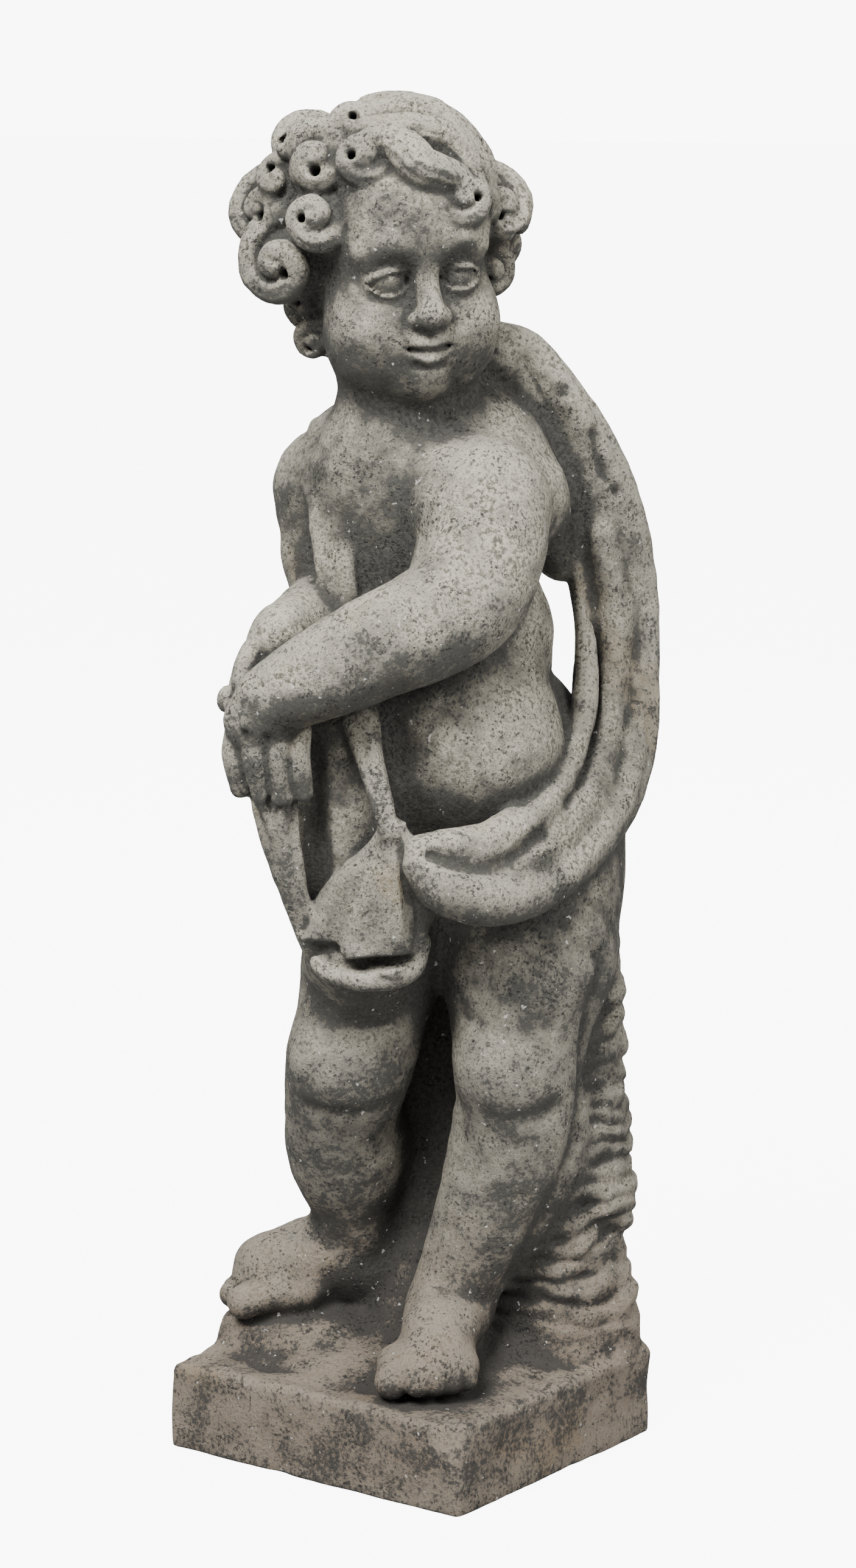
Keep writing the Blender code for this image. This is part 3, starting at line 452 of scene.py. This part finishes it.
# Each eye: a ball in a thin shell of lids, opened along an almond between two arcs.
eye_radius, lid, almond_half_width, almond_half_height = 1.55, 0.38, 1.72, 0.80
arc = (almond_half_width ** 2 + almond_half_height ** 2) / (2 * almond_half_height)
for side in (-1, 1):
    eye = (2.8 * side, -5.85, -0.7)
    head_mass(eye, (eye_radius + lid,) * 3, 0.5)
    middle = np.array(on_head((eye[0], -7.3, eye[2]))[0])
    part, x, y, z = window(middle - 2.6, middle + 2.6)
    x, y, z = x - head_centre[0], y - head_centre[1], z - head_centre[2]
    m = head_turn.astype(np.float32)
    x, y, z = (x * m[0, i] + y * m[1, i] + z * m[2, i] for i in range(3))
    across = x - eye[0]
    tilted = z - eye[2] + 0.05 * side * across
    above = np.sqrt(across ** 2 + (tilted - almond_half_height + arc) ** 2) - arc
    below = np.sqrt(across ** 2 + (tilted + almond_half_height - arc) ** 2) - arc
    cut(part, np.maximum(np.maximum(above, below), y + 6.2).astype(np.float32), 0.12)
    head_mass(eye, (eye_radius,) * 3, 0.05)
    head_groove([(1.3 * side, -7.0, -0.1), (2.1 * side, -7.45, 0.62), (3.2 * side, -7.25, 0.75),
                 (4.5 * side, -6.3, -0.05)], 0.26, 0.30)
    head_groove([(1.5 * side, -7.2, -1.7), (2.8 * side, -7.4, -2.2), (4.2 * side, -6.6, -1.6)], 0.4, 0.14)
    limb(on_head((1.2 * side, -7.1, 2.1, 0.3), (2.8 * side, -7.2, 2.5, 0.45),
                 (4.8 * side, -6.0, 1.4, 0.4)), 1.5)

# The mouth: a small bow of two upper lobes over one lower lip, with soft corners and a dimpled chin.
limb(on_head((-1.6, -7.4, -5.8, 0.2), (-0.75, -8.1, -5.45, 0.48), (0, -8.15, -5.58, 0.45),
             (0.75, -8.1, -5.45, 0.48), (1.6, -7.4, -5.8, 0.2)), 0.4)
limb(on_head((-1.2, -7.5, -6.35, 0.3), (0, -8.0, -6.65, 0.6), (1.2, -7.5, -6.35, 0.3)), 0.4)
head_groove([(-1.6, -7.5, -5.78), (-0.8, -8.35, -6.0), (0, -8.45, -6.1), (0.8, -8.35, -6.0),
             (1.6, -7.5, -5.78)], 0.28, 0.48)
head_groove([(0, -8.5, -4.1), (0, -8.3, -5.1)], 0.32, 0.18)
head_groove([(-1.0, -7.6, -7.25), (0, -7.9, -7.35), (1.0, -7.6, -7.25)], 0.5, 0.28)
for side in (-1, 1):
    head_groove([(1.75 * side, -7.3, -5.6), (1.95 * side, -7.15, -6.1), (1.85 * side, -7.1, -6.5)], 0.35,
                0.32)
    head_groove([(1.5 * side, -7.6, -3.2), (2.2 * side, -7.7, -4.2), (2.3 * side, -7.4, -5.0)], 0.45,
                0.16)
    head_mass((6.7 * side, 1.5, -2.2), (0.9, 1.7, 2.4), 0.8)

# The hair: snail curls round the brow and temples, each wound to a knob beside a drilled hole, and
# swept locks over the crown. The back, which the photograph doesn't show, has even curls.
crown_centre = np.array(on_head((0, 1.5, 2.0))[0])
head_mass((0, 2.6, 3.2), (7.3, 7.4, 7.6), 0.6)
head_mass((0, 5.0, -1.0), (6.5, 4.7, 7.0), 1.5)


def strands(path, tube, outward, angles, width, depth):
    """Lines combed along a lock: creases along its path, round its top at these angles in degrees."""
    along = np.gradient(path, axis=0)
    along /= np.linalg.norm(along, axis=1)[:, None]
    beside = np.cross(along, outward)
    beside /= np.linalg.norm(beside, axis=1)[:, None]
    top = np.cross(beside, along)
    for angle in np.radians(angles):
        groove(path + tube * (np.cos(angle) * top + np.sin(angle) * beside), width, depth, 1)


def curl(centre, axis, size, start, hand):
    """Lock wound 1.35 times, s from 0 to 1: its reach is size (0.64 - 0.64 s^2.2 + 0.5 (1 - s)^6)."""
    turns = 1.35
    axis = np.asarray(axis, float) / np.linalg.norm(axis)
    right = np.cross((0, 0, 1), axis)
    right /= np.linalg.norm(right)
    up = np.cross(axis, right)
    centre = np.asarray(centre, float)
    mass(centre - 1.0 * size * axis, (1.0 * size,) * 3, None, 0.7)
    share = np.linspace(0, 1, 26)[:, None]
    angle = np.radians(start) + hand * 2 * np.pi * turns * share
    tube = size * (0.41 - 0.11 * share)
    reach = size * (0.64 - 0.64 * share ** 2.2 + 0.5 * (1 - share) ** 6)
    lift = size * (0.26 * share - 0.22 - 0.6 * (1 - share) ** 6)
    places = centre + reach * (np.cos(angle) * right + np.sin(angle) * up) + lift * axis
    limb(np.hstack((places, tube)), 0.12, 1)
    strands(places, tube, axis, (-38, 12), 0.085 * size, 0.07 * size)
    gap = angle[-1, 0] + hand * 1.9
    hole = centre + 0.33 * size * (np.cos(gap) * right + np.sin(gap) * up)
    limb([(*(hole + 1.0 * size * axis), 0.19 * size), (*(hole - 0.5 * size * axis), 0.12 * size)], 0.1, 1,
         cut)


def swept_lock(rows):
    """Wavy lock lying on the crown, with strand lines combed along it."""
    path = smooth_path(rows, 7)
    limb(path, 0.35, 1)
    strands(path[:, :3], path[:, 3:], path[:, :3] - crown_centre, (-62, -28, 4, 36, 66), 0.2, 0.26)


# Six locks run over the crown from its left to its right, one behind another, and wave to and fro.
lock_share = np.linspace(0, 1, 8)
for number in range(6):
    turn_over = np.radians(-28 + (108 - 5 * abs(number - 2)) * lock_share)
    back = -7.9 + 2.2 * number + 0.75 * np.sin(2 * np.pi * (1.3 * lock_share + 0.37 * number))
    level = np.sqrt(1 - (back / 10.8) ** 2)
    thickness = 0.9 + 0.75 * np.sin(np.pi * (0.1 + 0.8 * lock_share))
    spots = crown_centre + np.stack((8.0 * level * np.sin(turn_over), back,
                                     9.0 * level * np.cos(turn_over)), 1)
    swept_lock(np.column_stack((spots, thickness)))
face_curls = (  # centre, size, where the curl starts in degrees, and which way it winds
    ((-4.8, -5.6, 106.8), 2.7, 200, 1),
    ((-7.4, -6.8, 104.4), 2.9, 150, -1),
    ((-3.8, -8.6, 104.8), 2.4, 60, -1),
    ((-7.6, -7.9, 100.0), 2.6, 60, -1),
    ((-10.6, -5.2, 96.2), 3.2, 90, 1),
    ((-12.0, -2.0, 100.4), 2.8, 90, 1),
    ((4.3, -8.6, 101.6), 2.3, 120, 1),
    ((7.2, -2.6, 100.6), 2.7, 100, -1),
    ((-9.0, -1.6, 105.8), 2.4, 30, 1),
    ((-10.6, -3.0, 103.0), 2.3, 250, 1),
    ((-7.9, -2.4, 90.0), 1.7, 0, 1),
    ((-8.5, -2.4, 92.8), 1.9, 0, -1),
    ((6.4, -1.2, 95.4), 2.0, 90, -1),
    ((7.0, -0.4, 97.8), 2.1, 200, 1))
placed = []
for centre, size, start, hand in face_curls:
    outward = np.array(centre) - crown_centre
    curl(centre, 0.55 * outward / np.linalg.norm(outward) + np.array((0, -0.85, 0.05)), size, start, hand)
    placed.append(np.array(centre))
seeds, spacing, golden_angle = 120, 4.2, math.pi * (3 - math.sqrt(5))
for seed in range(seeds):
    height = 1 - 2 * (seed + 0.5) / seeds
    level = math.sqrt(1 - height * height)
    outward = np.array((level * math.cos(seed * golden_angle), level * math.sin(seed * golden_angle),
                        height))
    local = head_turn.T @ outward
    place = crown_centre + head_turn @ (local * np.array((8.8, 9.6, 9.3)))
    clear = min(np.linalg.norm(place - other) for other in placed) > spacing
    if local[1] > 0.05 and height > -0.62 and clear:
        placed.append(place)
        curl(place, outward, 2.6, 137 * len(placed), 1 if len(placed) % 2 else -1)

# Weathering: years outdoors have rounded and pitted the skin by a millimetre or less.
# Nothing low down reaches past the plinth's sides, and the underside is flat.
part, x, y, z = window(volume_low, volume_high)
slab_cells, wear = 60, 0.05
for level in range(0, cells[2], slab_cells):
    slab = (slice(None), slice(None), slice(level, level + slab_cells))
    zs = z[:, :, level:level + slab_cells]
    fine_wear = wear * waves(x, y, zs, 2.2, 7).astype(np.float32)
    volume[slab] += fine_wear + wear * waves(x, y, zs, 5.5, 8).astype(np.float32)
part, x, y, z = window((-24, -22, -3), (24, 24, 16))
along = x * plinth_turn[0, 0] + y * plinth_turn[1, 0]
across = x * plinth_turn[0, 1] + y * plinth_turn[1, 1]
slack = 0.5 * np.maximum(z - 8, 0)
beyond = np.maximum(np.abs(along) - plinth_half_width, np.abs(across) - plinth_half_depth) - slack
cut(part, -beyond.astype(np.float32), 0.4)
part, x, y, z = window((-24, -22, -3), (24, 24, 4))
volume[part] = np.maximum(volume[part], floor_level - z)


def skin(field):
    """Surface nets: a point in each cell that the surface crosses, at the mean of its edge crossings,
    and a quad round each grid edge whose ends lie on different sides."""
    solid = field < 0
    corner_count = np.zeros(np.array(field.shape) - 1, np.int8)
    for i in (0, 1):
        for j in (0, 1):
            for k in (0, 1):
                corner_count += solid[i:field.shape[0] - 1 + i, j:field.shape[1] - 1 + j,
                                      k:field.shape[2] - 1 + k]
    crossed = (corner_count > 0) & (corner_count < 8)
    cell = np.argwhere(crossed)
    number = np.full(crossed.shape, -1, np.int32)
    number[tuple(cell.T)] = np.arange(len(cell))
    total = np.zeros((len(cell), 3))
    count = np.zeros(len(cell))
    for axis in range(3):
        for first in (0, 1):
            for second in (0, 1):
                start = cell.copy()
                start[:, (axis + 1) % 3] += first
                start[:, (axis + 2) % 3] += second
                end = start.copy()
                end[:, axis] += 1
                a, b = field[tuple(start.T)], field[tuple(end.T)]
                split = (a < 0) != (b < 0)
                share = a / np.where(split, a - b, 1)
                point = start.astype(float)
                point[:, axis] += share
                total[split] += point[split]
                count[split] += 1
    points = total / count[:, None]
    quads = []
    for axis in range(3):
        one, two = (axis + 1) % 3, (axis + 2) % 3
        low = [slice(1, -1)] * 3
        low[axis] = slice(0, -1)
        high = [slice(1, -1)] * 3
        high[axis] = slice(1, None)
        a, b = solid[tuple(low)], solid[tuple(high)]
        edge = np.argwhere(a != b)
        outward = a[tuple(edge.T)]
        edge[:, one] += 1
        edge[:, two] += 1
        ring = []
        for step_one, step_two in ((0, 0), (-1, 0), (-1, -1), (0, -1)):
            beside = edge.copy()
            beside[:, one] += step_one
            beside[:, two] += step_two
            ring.append(number[tuple(beside.T)])
        ring = np.stack(ring, 1)
        quads.append(np.where(outward[:, None], ring, ring[:, ::-1]))
    return points, np.vstack(quads)


points, quads = skin(volume)
places = volume_low + points * grain
to_plinth = turned(yaw=layout_turn)
places = (places + (0, 0, -floor_level)) @ to_plinth.T * unit + (0, 0, cad_low.z)
statue_mesh = bpy.data.meshes.new("statue")
statue_mesh.vertices.add(len(places))
statue_mesh.vertices.foreach_set("co", places.astype(np.float32).ravel())
statue_mesh.loops.add(quads.size)
statue_mesh.loops.foreach_set("vertex_index", quads.astype(np.int32).ravel())
statue_mesh.polygons.add(len(quads))
statue_mesh.polygons.foreach_set("loop_start", np.arange(0, quads.size, 4, dtype=np.int32))
statue_mesh.update(calc_edges=True)
statue_mesh.validate()


def running_mean(field, reach):
    """Mean over a cube of 2 reach + 1 cells a side, taken twice, from running sums along each axis."""
    for axis in (0, 0, 1, 1, 2, 2):
        edges = [(0, 0)] * 3
        edges[axis] = (reach + 1, reach)
        total = np.moveaxis(np.cumsum(np.pad(field, edges, mode="edge"), axis, dtype=np.float64), axis, 0)
        field = np.moveaxis((total[2 * reach + 1:] - total[:-2 * reach - 1]) / (2 * reach + 1), 0, axis)
    return field


def read_at(field, places):
    """Values between the cells of a field: the mean of the eight nearest, weighted by nearness."""
    places = np.clip(places, 0, np.array(field.shape) - 1.001)
    first = places.astype(int)
    share = places - first
    total = 0
    for corner in range(8):
        step = np.array((corner & 1, corner >> 1 & 1, corner >> 2 & 1))
        weight = np.prod(np.where(step == 1, share, 1 - share), axis=1)
        total = total + weight * field[tuple((first + step).T)]
    return total


# How much solid stands round each point of the skin, over a broad reach (shelter) and a fine one
# (crease): the masks for the painted shade in hollows and creases and for the painted highlight on open
# surfaces.
coarse = volume[::2, ::2, ::2]
solid_share = np.clip(0.5 - coarse / (2 * grain), 0, 1)
shelter_reach, crease_reach = 2.4, 0.5
shelter = read_at(running_mean(solid_share, round(shelter_reach / (2 * grain))), points / 2)
crease = read_at(running_mean(solid_share, max(round(crease_reach / (2 * grain)), 1)), points / 2)
for label, values in (("shelter", shelter), ("crease", crease)):
    attribute = statue_mesh.attributes.new(label, "FLOAT", "POINT")
    attribute.data.foreach_set("value", values.astype(np.float32))
statue_mesh.shade_smooth()
statue = bpy.data.objects.new("putto_statue_cast", statue_mesh)
bpy.context.scene.collection.objects.link(statue)
thin = statue.modifiers.new("thin_out", "DECIMATE")
most_triangles = 190000
thin.ratio = min(1.0, most_triangles / (2 * len(quads)))


# The stone: a lime and grit mix, weathered, with blotches of soot and algae. The hollows, creases and
# down-facing surfaces carry painted shade over real grime, the open, up-facing ones a painted highlight
# over rain-washed stone, and the stone is darker and browner towards the bottom.
def node(tree, kind, inputs=(), **settings):
    """A node with its settings, and its inputs joined to an output or set to a value."""
    made = tree.nodes.new(kind)
    for label, value in settings.items():
        setattr(made, label, value)
    for label, value in dict(inputs).items():
        if isinstance(value, bpy.types.NodeSocket):
            tree.links.new(value, made.inputs[label])
        else:
            made.inputs[label].default_value = value
    return made


def sum_of(tree, first, second, operation="ADD"):
    """One number from two by a Math node."""
    return node(tree, "ShaderNodeMath", {0: first, 1: second}, operation=operation).outputs[0]


def ramp(tree, value, low, high, to_low=0.0, to_high=1.0):
    """Smooth step of a value between two limits."""
    inputs = {"Value": value, "From Min": low, "From Max": high, "To Min": to_low, "To Max": to_high}
    return node(tree, "ShaderNodeMapRange", inputs, interpolation_type="SMOOTHSTEP").outputs[0]


def blend(tree, share, first, second, how="MIX"):
    """Colour between two by a share."""
    made = node(tree, "ShaderNodeMix", {0: share, 6: first, 7: second}, data_type="RGBA", blend_type=how)
    return made.outputs[2]


def noise(tree, place, scale, detail=4.0, roughness=0.6):
    """Value noise between about 0.2 and 0.8."""
    inputs = {"Vector": place, "Scale": scale, "Detail": detail, "Roughness": roughness}
    return node(tree, "ShaderNodeTexNoise", inputs).outputs[0]


def group(label, inputs, outputs):
    """An empty shader group with named inputs and outputs, and its two end nodes."""
    made = bpy.data.node_groups.new(label, "ShaderNodeTree")
    for names, way in ((inputs, "INPUT"), (outputs, "OUTPUT")):
        for name, kind in names:
            made.interface.new_socket(name, in_out=way, socket_type="NodeSocket" + kind)
    return made, made.nodes.new("NodeGroupInput").outputs, made.nodes.new("NodeGroupOutput").inputs


def feed(tree, made, inputs):
    """A group placed in a tree, with its inputs joined."""
    placed_group = tree.nodes.new("ShaderNodeGroup")
    placed_group.node_tree = made
    for label, value in inputs.items():
        tree.links.new(value, placed_group.inputs[label])
    return placed_group.outputs


surface_group, given, result = group(
    "sand_and_pits", [("Place", "Vector")],
    [("Sand", "Float"), ("Pits", "Float"), ("Blotches", "Float"), ("Drift", "Float")])
sand = noise(surface_group, given["Place"], 270.0, 5.0, 0.72)
clusters = noise(surface_group, given["Place"], 38.0, 3.0, 0.6)
holes = sum_of(surface_group, noise(surface_group, given["Place"], 360.0, 2.0, 0.5),
               ramp(surface_group, clusters, 0.40, 0.66, 0.10, -0.06))
surface_group.links.new(sand, result["Sand"])
surface_group.links.new(ramp(surface_group, holes, 0.30, 0.40, 1.0, 0.0), result["Pits"])
surface_group.links.new(noise(surface_group, given["Place"], 30.0, 9.0, 0.72), result["Blotches"])
surface_group.links.new(noise(surface_group, given["Place"], 6.0, 5.0, 0.62), result["Drift"])

grime_and_shade_group, given, result = group(
    "grime_and_painted_shade_in_hollows",
    [("Shelter", "Float"), ("Crease", "Float"), ("Upward", "Float"), ("Sand", "Float"),
     ("Blotches", "Float"),
     ("Drift", "Float")],
    [("Grime_and_shade", "Float"), ("Washed_and_lit", "Float")])
# Painted shade over real grime: darker where much solid stands round the point, in fine creases, and on
# down-facing surfaces.
hollow_shade_and_grime = sum_of(grime_and_shade_group, ramp(grime_and_shade_group, given["Shelter"], 0.45, 0.69, 0.0, 1.15),
                ramp(grime_and_shade_group, given["Crease"], 0.51, 0.64, 0.0, 0.65))
hollow_shade_and_grime = sum_of(grime_and_shade_group, hollow_shade_and_grime, ramp(grime_and_shade_group, given["Upward"], -0.75, 0.45, 0.62, -0.04))
patch = sum_of(grime_and_shade_group, ramp(grime_and_shade_group, given["Blotches"], 0.34, 0.68, -0.24, 0.46),
               ramp(grime_and_shade_group, given["Drift"], 0.38, 0.66, -0.14, 0.24))
speckled = sum_of(grime_and_shade_group, sum_of(grime_and_shade_group, hollow_shade_and_grime, patch),
                  sum_of(grime_and_shade_group, given["Sand"], 3.2, "MULTIPLY"))
grime_and_shade_group.links.new(ramp(grime_and_shade_group, speckled, 1.54, 2.34), result["Grime_and_shade"])
# Painted highlight over rain-washed stone: paler where little solid stands round the point and on
# up-facing surfaces.
open_and_facing_up = sum_of(grime_and_shade_group, ramp(grime_and_shade_group, given["Shelter"], 0.28, 0.47, 1.0, 0.10),
                      ramp(grime_and_shade_group, given["Upward"], 0.3, 0.95, 0.0, 0.6))
high = sum_of(grime_and_shade_group, open_and_facing_up,
              ramp(grime_and_shade_group, sum_of(grime_and_shade_group, given["Blotches"], given["Sand"]), 0.75, 1.2, 0.0,
                   1.0), "MULTIPLY")
grime_and_shade_group.links.new(high, result["Washed_and_lit"])

colour_group, given, result = group(
    "stone_colour",
    [("Place", "Vector"), ("Sand", "Float"), ("Pits", "Float"), ("Blotches", "Float"), ("Grime_and_shade", "Float"),
     ("Washed_and_lit", "Float")],
    [("Colour", "Color")])
level = node(colour_group, "ShaderNodeSeparateXYZ", {0: given["Place"]}).outputs[2]
level = sum_of(colour_group, level, sum_of(colour_group, given["Blotches"], 0.16, "MULTIPLY"))
colour = blend(colour_group, ramp(colour_group, given["Sand"], 0.40, 0.60),
               (0.120, 0.110, 0.085, 1), (0.460, 0.430, 0.348, 1))
# Painted highlight over rain-washed stone: a paler colour on open, up-facing surfaces.
colour = blend(colour_group, given["Washed_and_lit"], colour, (0.53, 0.50, 0.410, 1))
colour = blend(colour_group, ramp(colour_group, level, 0.30, 0.72, 0.42, 0.0), colour,
               (0.150, 0.134, 0.110, 1))
colour = blend(colour_group, ramp(colour_group, level, 0.16, 0.34, 0.60, 0.0), colour,
               (0.200, 0.150, 0.108, 1))
stain = ramp(colour_group, noise(colour_group, given["Place"], 11.0, 3.0, 0.5), 0.60, 0.72, 0.0, 0.32)
colour = blend(colour_group, stain, colour, (0.270, 0.200, 0.110, 1))
# Painted shade over real grime: near-black laid where the hollow, underside and blotch mask is high.
colour = blend(colour_group, sum_of(colour_group, given["Grime_and_shade"], 0.90, "MULTIPLY"), colour,
               (0.030, 0.030, 0.029, 1))
colour = blend(colour_group, sum_of(colour_group, given["Pits"], 0.75, "MULTIPLY"), colour,
               (0.020, 0.020, 0.019, 1))
flecks = ramp(colour_group, noise(colour_group, given["Place"], 170.0, 2.0, 0.5), 0.70, 0.76, 0.0, 0.75)
colour_group.links.new(blend(colour_group, flecks, colour, (0.58, 0.56, 0.52, 1)), result["Colour"])

stone = bpy.data.materials.new("weathered_cast_stone")
stone.use_nodes = True
tree = stone.node_tree
tree.nodes.clear()
place = node(tree, "ShaderNodeTexCoord").outputs["Object"]
sheltered = node(tree, "ShaderNodeAttribute", attribute_name="shelter").outputs["Fac"]
creased = node(tree, "ShaderNodeAttribute", attribute_name="crease").outputs["Fac"]
skin_of = feed(tree, surface_group, {"Place": place})
facing = node(tree, "ShaderNodeNewGeometry").outputs["Normal"]
upward = node(tree, "ShaderNodeSeparateXYZ", {0: facing}).outputs[2]
grime_and_shade = feed(tree, grime_and_shade_group, {"Shelter": sheltered, "Crease": creased, "Upward": upward,
                                 "Sand": skin_of["Sand"],
                                 "Blotches": skin_of["Blotches"], "Drift": skin_of["Drift"]})
colour = feed(tree, colour_group, {"Place": place, "Sand": skin_of["Sand"], "Pits": skin_of["Pits"],
                                   "Blotches": skin_of["Blotches"], "Grime_and_shade": grime_and_shade["Grime_and_shade"],
                                   "Washed_and_lit": grime_and_shade["Washed_and_lit"]})
relief = sum_of(tree, sum_of(tree, skin_of["Sand"], 1.1, "MULTIPLY"),
                sum_of(tree, skin_of["Pits"], 0.35, "MULTIPLY"),
                "SUBTRACT")
relief = sum_of(tree, relief, sum_of(tree, skin_of["Blotches"], 1.6, "MULTIPLY"))
bumped = node(tree, "ShaderNodeBump", {"Height": relief, "Strength": 1.0, "Distance": 0.0032})
shader = node(tree, "ShaderNodeBsdfPrincipled", {
    "Base Color": colour["Colour"], "Roughness": ramp(tree, grime_and_shade["Grime_and_shade"], 0.0, 1.0, 0.86, 0.96),
    "Specular IOR Level": 0.25, "Normal": bumped.outputs[0]})
node(tree, "ShaderNodeOutputMaterial", {"Surface": shader.outputs[0]})
statue_mesh.materials.append(stone)
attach(statue, "root")
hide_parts("putto_statue")

# The floor: a seamless white studio floor, wide enough that its far edge is lost in the white behind.
floor_mesh = bpy.data.meshes.new("floor")
half = 60.0
floor_corners = [(-half, -half, 0), (half, -half, 0), (half, half, 0), (-half, half, 0)]
floor_mesh.from_pydata(floor_corners, [], [(0, 1, 2, 3)])
floor = bpy.data.objects.new("floor", floor_mesh)
floor.location.z = cad_low.z - 0.0005
bpy.context.scene.collection.objects.link(floor)
paper = bpy.data.materials.new("white_floor")
paper.use_nodes = True
tree = paper.node_tree
tree.nodes.clear()
seen = node(tree, "ShaderNodeLightPath").outputs["Is Camera Ray"]
dull = node(tree, "ShaderNodeBsdfPrincipled", {"Base Color": (0.45, 0.45, 0.45, 1), "Roughness": 0.9})
floor_glow_when_seen = 8.3
glow = node(tree, "ShaderNodeEmission", {"Strength": sum_of(tree, seen, floor_glow_when_seen,
                                                            "MULTIPLY")})
both = node(tree, "ShaderNodeAddShader", {0: dull.outputs[0], 1: glow.outputs[0]})
node(tree, "ShaderNodeOutputMaterial", {"Surface": both.outputs[0]})
floor_mesh.materials.append(paper)

# The studio: white all round, with a large soft box high on the left, weak ones right and behind.
# The camera stands over the plinth's near corner at head height and looks a little down.
world = bpy.data.worlds.new("studio")
world.use_nodes = True
tree = world.node_tree
tree.nodes.clear()
seen = node(tree, "ShaderNodeLightPath").outputs["Is Camera Ray"]
strength_as_light, strength_when_seen = 0.21, 9.0
strength = ramp(tree, seen, 0.0, 1.0, strength_as_light, strength_when_seen)
around = node(tree, "ShaderNodeBackground", {"Color": (1, 1, 1, 1), "Strength": strength})
node(tree, "ShaderNodeOutputWorld", {"Surface": around.outputs[0]})
bpy.context.scene.world = world
lamp_size = 1.8
for label, place, power in (("key", (-1.3, -2.5, 3.6), 420), ("fill", (2.4, -2.2, 2.6), 150),
                            ("back", (0.2, 3.4, 2.6), 130)):
    lamp = bpy.data.lights.new(label, "AREA")
    lamp.energy = power
    lamp.size = lamp_size
    lamp_object = bpy.data.objects.new(label, lamp)
    spot = np.array(place) @ to_plinth.T
    lamp_object.location = spot
    aim = np.array((0, 0, 0.6)) - spot
    lamp_object.rotation_euler = (math.acos(-aim[2] / np.linalg.norm(aim)), 0,
                                  math.atan2(-aim[0], aim[1]))
    bpy.context.scene.collection.objects.link(lamp_object)
camera_data = bpy.data.cameras.new("photo_camera")
camera_data.lens, camera_data.sensor_width = 95.1, 36
camera = bpy.data.objects.new("photo_camera", camera_data)
camera.location = np.array((0.0125, -3.30, 1.112)) @ to_plinth.T
camera_tilt = 9.65
camera.rotation_euler = (math.radians(90 - camera_tilt), 0, math.radians(layout_turn))
bpy.context.scene.collection.objects.link(camera)
bpy.context.scene.camera = camera
